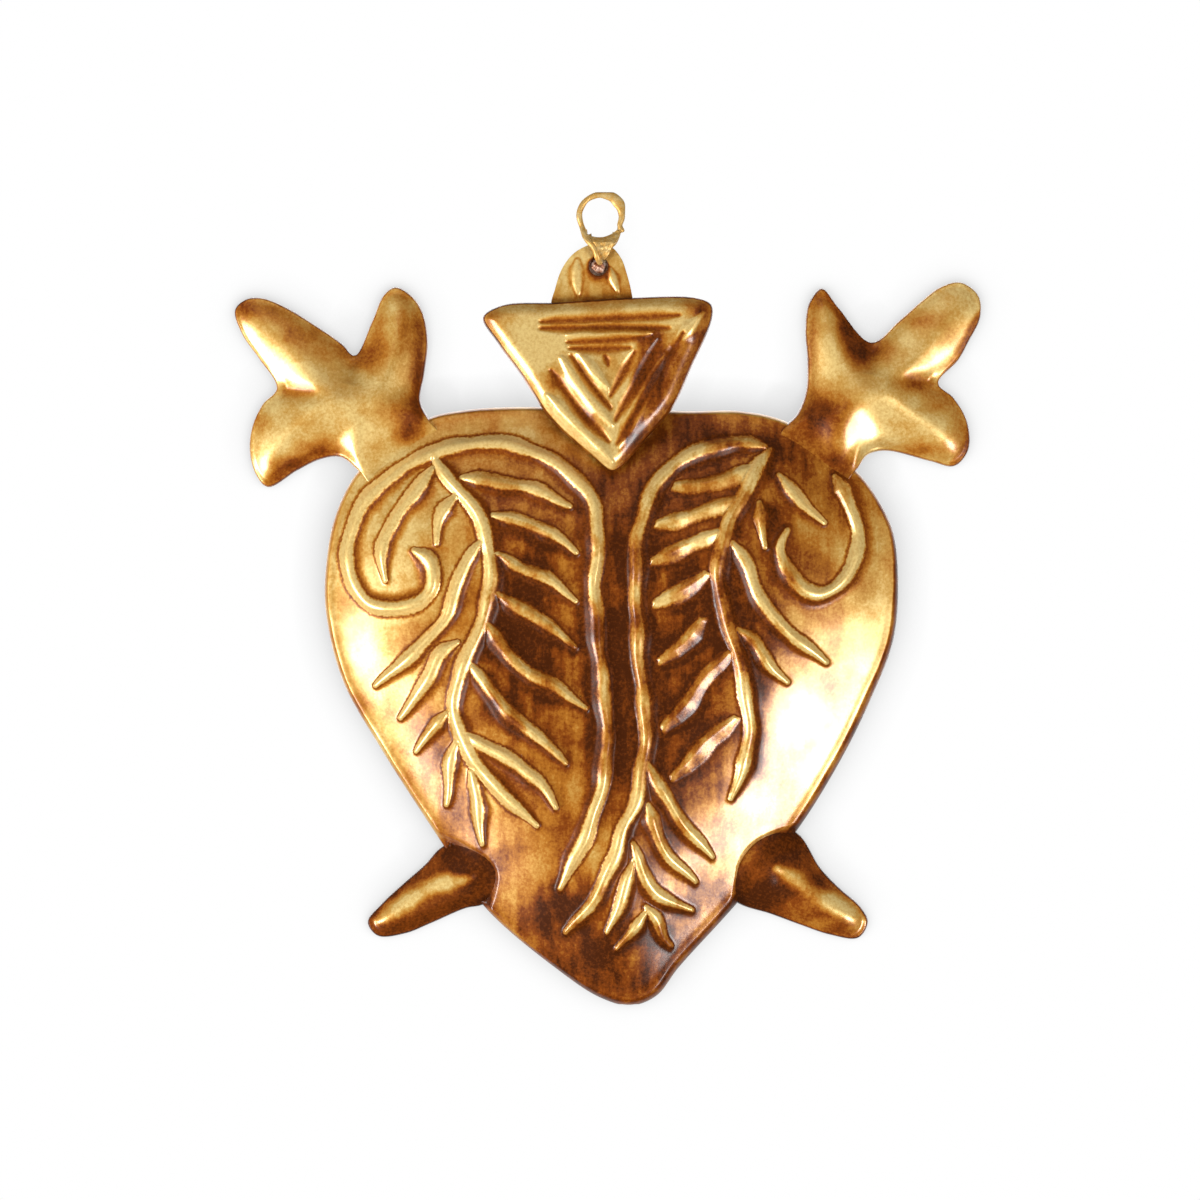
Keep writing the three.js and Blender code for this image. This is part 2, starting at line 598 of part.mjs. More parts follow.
const plaqueSolder = bead(
  PLAQUE_JOINT.map(([x, z]) => place(x, HEART_EDGE + BEAD_RADIUS + FIT, z)), BEAD_RADIUS);

const tabSolderFoot = TAB_FRONT + FIT;
const plaqueSheet = SHEET * steepness(plaqueHeight, ...TAB_SOLDER_PLACE);
const tabSolderTop = plaqueHeight(...TAB_SOLDER_PLACE) - plaqueSheet - FIT;
const tabSolderRise = tabSolderTop - tabSolderFoot;
const tabSolderGeometry = new THREE.LatheGeometry([
  new THREE.Vector2(0, 0),
  new THREE.Vector2(TAB_SOLDER_RADIUS, 0),
  new THREE.Vector2(TAB_SOLDER_BROW * TAB_SOLDER_RADIUS, TAB_SOLDER_SHOULDER * tabSolderRise),
  new THREE.Vector2(0, tabSolderRise),
], TAB_SOLDER_SIDES);
tabSolderGeometry.rotateX(Math.PI);
tabSolderGeometry.translate(TAB_SOLDER_PLACE[0], RING_PLANE - tabSolderFoot, TAB_SOLDER_PLACE[1]);
const tabSolder = solidOf(tabSolderGeometry);

const milagro = new THREE.Group();
milagro.name = 'sacred_heart_milagro';

function add(name, solid, color, metalness, roughness) {
  const { vertProperties, numProp, triVerts } = solid.getMesh();
  const positions = [];
  for (let i = 0; i < vertProperties.length; i += numProp) {
    positions.push(vertProperties[i], vertProperties[i + 1], vertProperties[i + 2]);
  }
  const geometry = new THREE.BufferGeometry();
  geometry.setAttribute('position', new THREE.Float32BufferAttribute(positions, 3));
  geometry.setIndex([...triVerts]);
  geometry.computeVertexNormals();
  const mesh = new THREE.Mesh(geometry, new THREE.MeshStandardMaterial({ color, metalness, roughness }));
  mesh.name = name;
  milagro.add(mesh);
}

add('heart_shell', heart, GOLD, 0.7, 0.4);
add('left_fletching', leftTail, PALE, 0.7, 0.4);
add('right_fletching', rightTail, GOLD, 0.7, 0.4);
add('left_point', leftPoint, BROWN, 0.7, 0.4);
add('right_point', rightPoint, BROWN, 0.7, 0.4);
add('triangle_plaque', plaque, PALE, 0.7, 0.4);
add('hanger_tab', tab, GOLD, 0.7, 0.4);
add('hanging_ring', ring, PALE, 0.8, 0.35);
add('ring_solder', ringSolder, TIN, 0.8, 0.5);
add('solder_left_fletching', leftTailSolder, TIN, 0.8, 0.5);
add('solder_right_fletching', rightTailSolder, TIN, 0.8, 0.5);
add('solder_left_point', leftPointSolder, TIN, 0.8, 0.5);
add('solder_right_point', rightPointSolder, TIN, 0.8, 0.5);
add('solder_plaque', plaqueSolder, TIN, 0.8, 0.5);
add('solder_tab', tabSolder, TIN, 0.8, 0.5);

export default milagro;
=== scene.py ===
# %% [markdown]
# # A pressed-tin sacred heart
# The real ornament is thin sheet tin, pressed into a mould and chased by hand, then painted brown and
# rubbed over with gold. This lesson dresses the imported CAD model: every sheet gets a fine mesh with its
# relief, and every surface gets its paint. The CAD pieces stay where they are, and each new piece stands
# for the node that it follows.

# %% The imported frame
import math

import bpy
import numpy as np
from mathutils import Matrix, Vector


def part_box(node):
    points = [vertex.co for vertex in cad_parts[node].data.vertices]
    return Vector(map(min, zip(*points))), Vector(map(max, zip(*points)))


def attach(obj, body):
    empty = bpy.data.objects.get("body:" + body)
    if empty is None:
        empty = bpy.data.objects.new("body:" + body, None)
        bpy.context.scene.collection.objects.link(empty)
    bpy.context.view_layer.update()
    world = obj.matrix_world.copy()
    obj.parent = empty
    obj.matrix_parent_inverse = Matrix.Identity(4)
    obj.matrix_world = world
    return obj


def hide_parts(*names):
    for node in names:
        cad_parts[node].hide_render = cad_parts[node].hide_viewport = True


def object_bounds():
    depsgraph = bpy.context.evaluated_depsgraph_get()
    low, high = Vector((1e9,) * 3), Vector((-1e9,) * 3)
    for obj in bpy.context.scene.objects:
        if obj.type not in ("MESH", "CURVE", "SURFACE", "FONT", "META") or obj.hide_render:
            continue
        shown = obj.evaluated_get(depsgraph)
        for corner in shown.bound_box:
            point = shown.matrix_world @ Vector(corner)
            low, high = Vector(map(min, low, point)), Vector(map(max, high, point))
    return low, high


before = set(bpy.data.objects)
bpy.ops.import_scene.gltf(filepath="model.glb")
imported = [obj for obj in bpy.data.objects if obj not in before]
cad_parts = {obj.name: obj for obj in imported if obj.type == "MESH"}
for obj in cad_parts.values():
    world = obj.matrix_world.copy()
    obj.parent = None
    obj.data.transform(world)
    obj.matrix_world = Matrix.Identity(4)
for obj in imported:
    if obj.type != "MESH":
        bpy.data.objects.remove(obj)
cad_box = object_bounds()
MM = 0.001
BACK_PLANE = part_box("heart_shell")[1].y / MM
print("CAD box in mm:", [[round(v / MM, 1) for v in corner] for corner in cad_box])

# %% [markdown]
# ## Lines drawn on the sheet
# A tinsmith scribes the outline and the leaf sprays on the flat sheet before pressing it. Here the same
# lines are short lists of points in millimetres, [x, z] as seen from the front, with a smooth curve through
# them. Curves keep the lists short, and much the same lists shape the CAD model, so mesh and solid agree.


# %% Smooth lines and what can be measured on them
def smooth_line(points, closed=False, step=1.0):
    """Evenly spaced points on a smooth curve through the given ones."""
    p = np.array(points, float)
    if closed:
        p = np.vstack([p[-1], p, p[:2]])
    else:
        p = np.vstack([2 * p[0] - p[1], p, 2 * p[-1] - p[-2]])
    t = np.linspace(0, 1, 20, endpoint=False)[:, None]
    pieces = []
    for a, b, c, d in zip(p, p[1:], p[2:], p[3:]):
        before, here, after = (np.linalg.norm(q) ** 0.5 for q in (b - a, c - b, d - c))
        leave = ((b - a) / before - (c - a) / (before + here) + (c - b) / here) * here
        arrive = ((c - b) / here - (d - b) / (here + after) + (d - c) / after) * here
        bend = -3 * b + 3 * c - 2 * leave - arrive
        pieces.append(b + leave * t + bend * t**2 + (2 * b - 2 * c + leave + arrive) * t**3)
    fine = np.vstack(pieces + [p[-2:-1]])
    run = np.concatenate([[0], np.cumsum(np.linalg.norm(np.diff(fine, axis=0), axis=1))])
    count = max(4, round(run[-1] / step))
    spaced = np.linspace(0, run[-1], count + 1)
    return np.column_stack([np.interp(spaced, run, column) for column in fine.T])


def along(line, share):
    """The points at these shares of an evenly spaced line's length."""
    place = share * (len(line) - 1)
    low = np.clip(place.astype(int), 0, len(line) - 2)
    return line[low] + (place - low)[:, None] * (line[low + 1] - line[low])


def nearest(line, x, z):
    """How far each point lies from a line, and at which share of the line's length."""
    best = np.full(x.shape, np.inf)
    share = np.zeros(x.shape)
    count = len(line) - 1
    for i in range(count):
        a = line[i]
        ab = line[i + 1] - a
        t = np.clip(((x - a[0]) * ab[0] + (z - a[1]) * ab[1]) / (ab @ ab), 0, 1)
        away = np.hypot(x - a[0] - t * ab[0], z - a[1] - t * ab[1])
        closer = away < best
        best[closer] = away[closer]
        share[closer] = (i + t[closer]) / count
    return best, share


def soft_reach(spots, x, z, rounding):
    """How far each point lies from an outline's points, with rounded ridges between opposite sides."""
    total = np.full(x.shape, SMALLEST)
    for ax, az in spots:
        total += np.exp(-np.hypot(x - ax, z - az) / rounding)
    return np.clip(-rounding * np.log(total * OUTLINE_STEP / (2 * rounding)), 0, None)


def lower_of(first, second, rounding):
    """The lower of two heights, with a rounded change from one to the other."""
    return -rounding * np.log(np.exp(-first / rounding) + np.exp(-second / rounding))


def inside(loop, x, z):
    """Which points lie inside a closed line."""
    found = np.zeros(x.shape, bool)
    for (ax, az), (bx, bz) in zip(loop, loop[1:]):
        if az != bz:
            crosses = (az > z) != (bz > z)
            found ^= crosses & (x < ax + (bx - ax) * (z - az) / (bz - az))
    return found


OUTLINE_STEP = 0.6
SMALLEST = 1e-30


def outline(points, centre):
    """A closed outline, counter-clockwise from the front, which starts below and left of the centre."""
    loop = smooth_line(points, closed=True, step=OUTLINE_STEP)[:-1]
    turn = np.sum(loop[:, 0] * np.roll(loop[:, 1], -1) - np.roll(loop[:, 0], -1) * loop[:, 1])
    if turn < 0:
        loop = loop[::-1]
    angle = np.arctan2(loop[:, 1] - centre[1], loop[:, 0] - centre[0])
    first = np.argmin(np.abs(angle + 0.75 * math.pi))
    loop = np.roll(loop, -first, axis=0)
    return np.vstack([loop, loop[:1]])


def inset(loop, distance):
    """The same outline moved inwards."""
    body = loop[:-1]
    run = np.roll(body, -1, axis=0) - np.roll(body, 1, axis=0)
    run /= np.linalg.norm(run, axis=1)[:, None]
    moved = body + distance * np.column_stack([-run[:, 1], run[:, 0]])
    return np.vstack([moved, moved[:1]])


def swell(distance, shoulder):
    """How full a pressed dome is at this distance from its edge: 0 at the edge, 1 past the shoulder."""
    return 1 - (1 - np.minimum(distance / shoulder, 1)) ** 2


def ease(value, low, high):
    """0 below low, 1 above high, and a smooth step between."""
    t = np.clip((value - low) / (high - low), 0, 1)
    return t * t * (3 - 2 * t)


def bell(value, middle, reach):
    """1 at the middle, falling off smoothly to both sides."""
    return np.exp(-(((value - middle) / reach) ** 2))


# %% [markdown]
# ## A sheet to press
# Every tin piece but the tab starts as a square grid. Its rings are carried onto the outline, so the mesh
# flows along the rim and there is no pinched pole in the middle. A sculptor would push the relief up with
# brushes. Here the vertices are moved by the same dome and cord shapes that the moulds have, because a real
# pressing is exact and repeats.


# %% Grids, rims and paint masks
def stop_editing():
    bpy.ops.object.mode_set(mode="OBJECT")


def deselect_everything():
    if bpy.context.object and bpy.context.object.mode != "OBJECT":
        stop_editing()
    bpy.ops.object.select_all(action="DESELECT")


def select_only(*pieces):
    """Select these pieces, with the last one active."""
    deselect_everything()
    for piece in pieces:
        piece.select_set(True)
    bpy.context.view_layer.objects.active = pieces[-1]


def named(name):
    """The object that was just added, under this name."""
    made = bpy.context.object
    made.name = name
    made.data.name = name
    return made


def coordinates(sheet):
    flat = np.empty(len(sheet.data.vertices) * 3)
    sheet.data.vertices.foreach_get("co", flat)
    return flat.reshape(-1, 3)


def put_vertices(piece, spots):
    """Set every vertex, in millimetres, and keep it within the box of the CAD model."""
    kept = np.clip(spots * MM, np.array(cad_box[0]), np.array(cad_box[1]))
    piece.data.vertices.foreach_set("co", kept.ravel())
    piece.data.update()


def move_to(sheet, x, height, z):
    """Set every vertex, in millimetres, with the height measured forwards from the back plane."""
    put_vertices(sheet, np.column_stack([x, BACK_PLANE - height, z]))


def read_back(sheet):
    spots = coordinates(sheet) / MM
    return spots[:, 0], BACK_PLANE - spots[:, 1], spots[:, 2]


def flat_grid(name, cells):
    deselect_everything()
    bpy.ops.mesh.primitive_grid_add(x_subdivisions=cells, y_subdivisions=cells, size=2)
    return named(name)


def onto_outline(sheet, brow, centre):
    """Where each vertex of the square grid lies once its rings are stretched to the outline."""
    u, v = coordinates(sheet)[:, :2].T
    ring = np.maximum(np.abs(u), np.abs(v))
    whole = np.where(ring == 0, 1, ring)
    a, b = u / whole, v / whole
    sides = [b <= -1 + 1e-6, a >= 1 - 1e-6, b >= 1 - 1e-6]
    starts = [(a + 1) / 8, 1 / 4 + (b + 1) / 8, 1 / 2 + (1 - a) / 8]
    share = np.select(sides, starts, 3 / 4 + (1 - b) / 8)
    edge = along(brow, share)
    spots = np.array(centre) + ring[:, None] * (edge - np.array(centre))
    return spots[:, 0], spots[:, 1]


def edit(sheet, mode="VERT"):
    select_only(sheet)
    bpy.ops.object.mode_set(mode="EDIT")
    bpy.ops.mesh.select_mode(type=mode)


def edit_open_edges(sheet):
    """Go into edit mode with only the open edges selected."""
    edit(sheet, "EDGE")
    bpy.ops.mesh.select_all(action="DESELECT")
    bpy.ops.mesh.select_non_manifold(extend=False)


def edit_chosen(sheet, mode, chosen):
    """Go into edit mode with only the chosen vertices or faces selected."""
    edit(sheet, mode)
    bpy.ops.mesh.select_all(action="DESELECT")
    stop_editing()
    parts = sheet.data.vertices if mode == "VERT" else sheet.data.polygons
    parts.foreach_set("select", chosen)
    edit(sheet, mode)


def cut_away(sheet, covered):
    edit_chosen(sheet, "VERT", covered)
    bpy.ops.mesh.delete(type="VERT")
    stop_editing()


def face_outwards(piece):
    edit(piece)
    bpy.ops.mesh.select_all(action="SELECT")
    bpy.ops.mesh.normals_make_consistent(inside=False)
    stop_editing()


def soften(sheet, repeat):
    """Round off the crests of a dome without moving its edge."""
    edit(sheet)
    bpy.ops.mesh.select_all(action="DESELECT")
    bpy.ops.mesh.select_non_manifold()
    bpy.ops.mesh.select_all(action="INVERT")
    bpy.ops.mesh.vertices_smooth(factor=0.5, repeat=repeat, xaxis=False, yaxis=True, zaxis=False)
    stop_editing()


RIM_ROWS = ((0.0, 0.3, 0.06), (0.3, 0.6, 0.25), (0.6, 0.85, 0.5), (0.85, 1.0, 1.0))


def turn_down_rim(sheet, brow, rim, foot):
    """Extrude the sheet's edge in rows, out to the rim and back to the foot."""
    for start, end, drop in RIM_ROWS:
        edit_open_edges(sheet)
        bpy.ops.mesh.extrude_edges_move()
        stop_editing()
        fresh = np.empty(len(sheet.data.vertices), bool)
        sheet.data.vertices.foreach_get("select", fresh)
        x, height, z = read_back(sheet)
        _, share = nearest(brow + start * (rim - brow), x[fresh], z[fresh])
        row = along(brow + end * (rim - brow), share)
        x[fresh], z[fresh] = row.T
        height[fresh] += drop * (foot(x[fresh], z[fresh]) - height[fresh])
        move_to(sheet, x, height, z)


def set_masks(sheet, **masks):
    """Keep paint masks on the vertices, for the materials to read."""
    for name, values in masks.items():
        mask = sheet.data.attributes.new(name, "FLOAT", "POINT")
        mask.data.foreach_set("value", np.clip(values, 0, 1).astype(np.float32))


def paint(x, z, base, dabs):
    """How much brown is left on the gold, some of it painted shade: a base level and soft dabs of (x, z,
    reach x, reach z, amount).
    """
    wash = np.full(x.shape, float(base))
    for cx, cz, rx, rz, amount in dabs:
        wash += amount * np.exp(-(((x - cx) / rx) ** 2) - ((z - cz) / rz) ** 2)
    return wash


RIB_FAR = 4.2
RIB_SEARCH = 0.55
SLOW_SWELL = (0.08, 0.42, 1.7)
QUICK_SWELL = (0.04, 0.95, 2.9)
READING_WAY = (0.3, 0.1)
AHEAD = 0.01
CORD_CREST = 0.1
SHARP_FOOT = 1.2
GENTLE_FOOT = 1.8


def wave(kind, run, number):
    """An unsteady hand along a line: a sine of (size, rate along it, shift from one number to the next)."""
    size, rate, shift = kind
    return size * np.sin(rate * run + shift * number)


def near_ribs(x, z, lines, width, tip, root_run, tip_run):
    """How far each point lies from the nearest rib in half widths, how full the rib is, how far below it."""
    across = np.full(x.shape, RIB_FAR)
    full = np.zeros(x.shape)
    under = np.full(x.shape, 0.5)
    for number, points in enumerate(lines):
        line = smooth_line(points)
        reach = RIB_SEARCH * RIB_FAR * width
        low, high = line.min(axis=0) - reach, line.max(axis=0) + reach
        close = np.flatnonzero((x > low[0]) & (x < high[0]) & (z > low[1]) & (z < high[1]))
        away, share = nearest(line, x[close], z[close])
        length = len(line) - 1
        run = share * length
        taper = tip + (1 - tip) * np.minimum(1, np.minimum(run / root_run, (length - run) / tip_run))
        hand = 1 + wave(SLOW_SWELL, run, number) + wave(QUICK_SWELL, run, number)
        value = away / (0.5 * width * taper * hand)
        ahead = along(line, np.minimum(share + AHEAD, 1)) - along(line, np.maximum(share - AHEAD, 0))
        off = np.column_stack([x[close], z[close]]) - along(line, share)
        turn = ahead[:, 0] * off[:, 1] - ahead[:, 1] * off[:, 0]
        turn /= np.linalg.norm(ahead, axis=1) * np.maximum(away, 1e-6)
        whole = line[-1] - line[0]
        if whole[0] * READING_WAY[0] + whole[1] * READING_WAY[1] < 0:
            turn = -turn
        better = value < across[close]
        across[close[better]] = value[better]
        full[close[better]] = (np.sqrt(taper) * hand)[better]
        under[close[better]] = (0.5 - 0.5 * turn)[better]
    return across, full, under


def cord_lift(across, full, rise, under=0.5):
    """Height of a rounded cord that falls off sharply above and gently below."""
    sharp = ease(across, CORD_CREST, SHARP_FOOT)
    gentle = ease(across, CORD_CREST, GENTLE_FOOT)
    return rise * full * (1 - sharp - under * (gentle - sharp))


def wedge_lift(across, full, rise, under):
    """Height of a leaf with a steep upper side and a straight flank below, rounded at crest and foot."""
    steep = ease(across, CORD_CREST, SHARP_FOOT)
    flank = lower_of((across - LIT_CREST) / (LIT_FOOT - LIT_CREST), np.ones(across.shape), LIT_ROUNDING)
    flank = -lower_of(-flank, np.zeros(across.shape), LIT_ROUNDING)
    return rise * full * (1 - steep - ease(under, *LIT_UNDER) * (flank - steep))


CREASE_FADE = 0.8


def valley(x, z, lines, depth, reach):
    """Soft creases that are deepest where their line starts."""
    cut = np.zeros(x.shape)
    for points in lines:
        away, share = nearest(smooth_line(points, step=0.5), x, z)
        cut = np.maximum(cut, depth * (1 - share) ** CREASE_FADE * np.exp(-((away / reach) ** 2)))
    return cut


def thicken(sheet, thickness):
    """Give the sheet its thickness, away from the front, with the bare back as second material."""
    select_only(sheet)
    wall = sheet.modifiers.new("sheet", "SOLIDIFY")
    wall.thickness = thickness * MM
    wall.offset = -1
    wall.material_offset = 1
    bpy.ops.object.modifier_apply(modifier=wall.name)
    bpy.ops.object.shade_smooth()
    put_vertices(sheet, coordinates(sheet) / MM)


def open_two_slots(piece):
    """Room for two materials: the paint in front, and what shows behind."""
    piece.data.materials.append(None)
    piece.data.materials.append(None)


def join_as_second(piece, other):
    """Join the other piece to this one, with the second material on its faces."""
    open_two_slots(piece)
    own_faces = len(piece.data.polygons)
    select_only(other, piece)
    bpy.ops.object.join()
    for face in piece.data.polygons[own_faces:]:
        face.material_index = 1


def hand_over(piece, body, node):
    """Let the finished piece ride on its body and stand for its node."""
    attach(piece, body)
    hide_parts(node)
    print(piece.name + ":", sum(len(face.vertices) - 2 for face in piece.data.polygons), "triangles")


SHEET = 0.5

# %% [markdown]
# ## The heart
# The heart is one deep pressing with a turned-down rim. Its front is a fine grid that carries the leaf
# sprays, and its inside is a coarser copy, shrunk by the sheet's thickness and bridged to the front along
# the rim. A Solidify modifier would do that in one step, but it would double the fine grid, and nobody
# looks that closely at the back.

# %% Heart outline and dome
HEART_CENTRE = (1, -94)
HEART_EDGE = 4
HEART_RISE = 8
HEART_SHOULDER = 25
HEART_ROUNDING = 2.6
HEART_FLARE = 1
HEART_OUTLINE = [
    (-34.4, -43.6), (-27, -42), (-18, -41.4), (0, -41.6), (18, -42.2), (28, -42.2), (36.4, -44),
    (44, -48.6), (51.4, -54.4), (55.6, -60), (58.6, -66.6), (59.6, -76), (58.6, -88), (54, -100),
    (48.4, -111.4), (39.4, -126), (27.3, -140.7), (15.6, -153.6), (11.2, -159.2), (6, -161.2), (0, -159.6),
    (-8, -154.4), (-23.2, -141.4), (-32.4, -127.6), (-44, -109.6), (-51.6, -96), (-55, -82), (-54.8, -72),
    (-53, -63), (-48.6, -54.4), (-42, -49),
]
RIGHT_BAY = [(39.4, -126), (35.6, -127.2), (31.4, -129.4), (28.9, -132.6), (28.2, -136), (27.3, -140.7)]
LEFT_BAY = [(-23.2, -141.4), (-22.2, -137.6), (-21.9, -134.8), (-22.8, -133), (-26, -130.8), (-32.4, -127.6)]
BAY_FLOOR = 1.5
BAY_LIP = (-1.6, 0.5)
COVER_LIP = 1.6
RIM_SHOWN = 0.8
RIM_SHOWN_RUN = (20, 50)
LOWER_RIGHT = (0.75, 0.66)


def to_lower_right(x, z):
    """How far a point lies to the lower right of the heart's middle."""
    return LOWER_RIGHT[0] * x - LOWER_RIGHT[1] * (z - HEART_CENTRE[1])


def with_bay(points, bay):
    """The outline with a bay's points put in between the two that the bay starts and ends on."""
    after = points.index(bay[0]) + 1
    return points[:after] + bay[1:-1] + points[after:]


heart_rim = outline(HEART_OUTLINE, HEART_CENTRE)
lower_right = ease(to_lower_right(*heart_rim[:-1].T), *RIM_SHOWN_RUN)
heart_brow = inset(heart_rim, (HEART_FLARE + RIM_SHOWN * lower_right)[:, None])
heart_edge = outline(with_bay(with_bay(HEART_OUTLINE, RIGHT_BAY), LEFT_BAY), HEART_CENTRE)
heart_cover = inset(heart_edge, COVER_LIP)


def heart_dome(x, z):
    away = soft_reach(heart_brow[:-1], x, z, HEART_ROUNDING)
    return HEART_EDGE + HEART_RISE * swell(away, HEART_SHOULDER)


def into_bay(x, z):
    """How far a point lies past the heart's lip, towards the root of an arrow point."""
    right, _ = nearest(smooth_line(RIGHT_BAY), x, z)
    left, _ = nearest(smooth_line(LEFT_BAY), x, z)
    away = np.minimum(right, left)
    return np.where(inside(heart_edge, x, z), -away, away)


def sink_bays(height, x, z):
    """Roll the dome's edge over and down where the arrow points come out."""
    return height - ease(into_bay(x, z), *BAY_LIP) * np.clip(height - BAY_FLOOR, 0, None)


def on_back_plane(x, z):
    return np.zeros(x.shape)


# %% Leaf sprays
STEM_WIDTH = 3.0
STEM_RISE = 1.35
LEAF_WIDTH = 2.8
LEAF_RISE = 1.3
LIT_LEAF_WIDTH = 2.3
LIT_LEAF_RISE = 0.85
LIT_CREST = 0.2
LIT_FOOT = 2.0
LIT_FLANK = 0.5
LIT_UNDER = (0.4, 0.8)
LIT_PAINT_UNDER = (0.5, 0.8)
LIT_ROUNDING = 0.06
LIT_TIP = 0.6
LIT_RUN = 3
RIB_TIP = 0.42
RIB_ROOT_RUN = 3.0
RIB_TIP_RUN = 7.0
UNSTEADY = 0.16
STEMS = [
    [(-37.2, -70), (-34, -72.4), (-33.2, -77), (-36, -80.4), (-41, -81.8), (-46.4, -80.4), (-49.6, -76.6),
     (-50.4, -71), (-49, -64), (-45.5, -58.6), (-40, -54), (-34, -51), (-28, -49), (-22, -48.6),
     (-16, -49.4), (-10, -52), (-4.6, -56.2), (-1.4, -61), (-0.6, -67), (-1.2, -78), (-0.4, -88),
     (1, -102), (1.2, -110), (0, -118), (-3, -127), (-8.2, -137.4)],
    [(-33, -52), (-28.4, -58), (-24, -63.6), (-22, -71), (-22.2, -80), (-25, -88), (-28.4, -96),
     (-28.8, -104), (-25, -112), (-18, -120), (-12.8, -124.8)],
    [(32.6, -49.4), (28, -48.6), (23, -49.2), (18, -51), (13.6, -54), (10.4, -58), (8.4, -63), (7, -70),
     (7, -80), (7.6, -93), (9, -106), (8.2, -113), (7, -120), (4.4, -125.6), (2.4, -132), (-2, -140.6),
     (-7, -146)],
    [(33.6, -50), (31, -54), (28.4, -59), (25.6, -64.4), (23.4, -72), (23.6, -79), (26.6, -89),
     (29, -100), (29.4, -109), (26, -119.6)],
    [(46.6, -55.2), (49, -59.4), (51.2, -66), (50.6, -72.4), (47.6, -76.6), (44, -78.6), (40.6, -78),
     (37.6, -75), (35.6, -70), (37.2, -66)],
]
LEAVES = [
    [(-27.4, -55.6), (-20, -56.6), (-13, -58), (-6, -61.4)],
    [(-21.4, -63), (-16, -64.4), (-10, -66.6), (-5, -70.6)],
    [(-20.2, -71), (-16, -73.4), (-10, -76), (-5, -80.2)],
    [(-20.4, -78.6), (-16, -81.6), (-10, -85), (-5.2, -89.4)],
    [(-22.6, -84.6), (-19, -90), (-14, -94.4), (-8, -97.6), (-2.8, -101.6)],
    [(-26, -92.4), (-22, -98), (-17, -103.6), (-11, -108), (-7, -112.4)],
    [(-27.6, -106.4), (-22, -109.6), (-16, -113), (-11, -117.4), (-8.8, -121)],
    [(-33.4, -54), (-37, -58.6), (-41, -64.4), (-43.4, -69), (-42.8, -76)],
    [(-29, -59.4), (-31.4, -62.4), (-32.6, -69)],
    [(-24, -68.6), (-27, -73), (-29, -79), (-31, -84), (-36, -89.4), (-44.8, -97)],
    [(-28.2, -88.4), (-32, -91), (-35, -97), (-40, -103.6)],
    [(-30.6, -102.4), (-33.6, -105.6), (-36.6, -110)],
    [(-28.8, -108.4), (-30, -113), (-30.6, -120.6)],
    [(-25.6, -114), (-24.6, -121), (-23.6, -128.4)],
    [(35.6, -55), (39, -59.4), (44.4, -64.8)],
    [(31.4, -60.6), (32, -65), (32.6, -69.6)],
    [(26, -68.6), (29, -73), (31.6, -79.4), (35, -84.4), (40, -88.6), (45, -92.4)],
    [(27.4, -85.6), (30.4, -88), (33.6, -93), (37, -96.4)],
    [(9.4, -112.4), (12.4, -118), (16, -124), (22.4, -131)],
    [(9.2, -120.6), (11, -125.6), (13.6, -131), (18.8, -136)],
    [(6.4, -128.4), (8.4, -134), (12, -139), (18.4, -141.6)],
    [(6.4, -132), (5.4, -136), (3.6, -141), (1.4, -146)],
    [(9, -141), (11, -143.6), (12.4, -147), (14.2, -148.8)],
    [(8.6, -142.4), (6.4, -146), (3.2, -149.2)],
]
LIT_LEAVES = [
    [(30.4, -53.6), (24, -56), (15.2, -57.2)],
    [(26.6, -60), (19, -62.6), (11.4, -64.6)],
    [(23.2, -66.4), (17, -69), (10.4, -72)],
    [(20.8, -74.6), (16.4, -77.4), (11, -80.6)],
    [(20, -84), (17, -87.6), (12, -91.6)],
    [(25.2, -90.4), (21, -94.4), (17, -100), (12.6, -105)],
    [(26.4, -103.4), (21, -108), (14.4, -115)],
]


def near_lit_leaves(x, z):
    return near_ribs(x, z, LIT_LEAVES, LIT_LEAF_WIDTH, LIT_TIP, LIT_RUN, LIT_RUN)


def leaf_ribs(x, z):
    """Distance, shaded side and height of the nearest stem or leaf, drawn with a slightly unsteady hand."""
    wx = x + UNSTEADY * np.sin(0.55 * z + 0.2 * x)
    wz = z + UNSTEADY * np.sin(0.5 * x - 0.3 * z)
    closest = np.full(x.shape, RIB_FAR)
    shaded = np.zeros(x.shape)
    lift = np.zeros(x.shape)
    for lines, width, rise in ((STEMS, STEM_WIDTH, STEM_RISE), (LEAVES, LEAF_WIDTH, LEAF_RISE)):
        across, full, under = near_ribs(wx, wz, lines, width, RIB_TIP, RIB_ROOT_RUN, RIB_TIP_RUN)
        lift = np.maximum(lift, cord_lift(across, full, rise, under))
        shaded = np.where(across < closest, under, shaded)
        closest = np.minimum(across, closest)
    across, full, under = near_lit_leaves(wx, wz)
    lift = np.maximum(lift, wedge_lift(across, full**2, LIT_LEAF_RISE, under))
    # The lower flank of each lit leaf faces the right softbox: it is painted with the crest's gold, a painted
    # highlight, and gets no painted shade.
    across = across * (1 - LIT_FLANK * ease(under, *LIT_PAINT_UNDER))
    shaded = np.where(across < closest, 0, shaded)
    return np.minimum(across, closest), shaded, lift


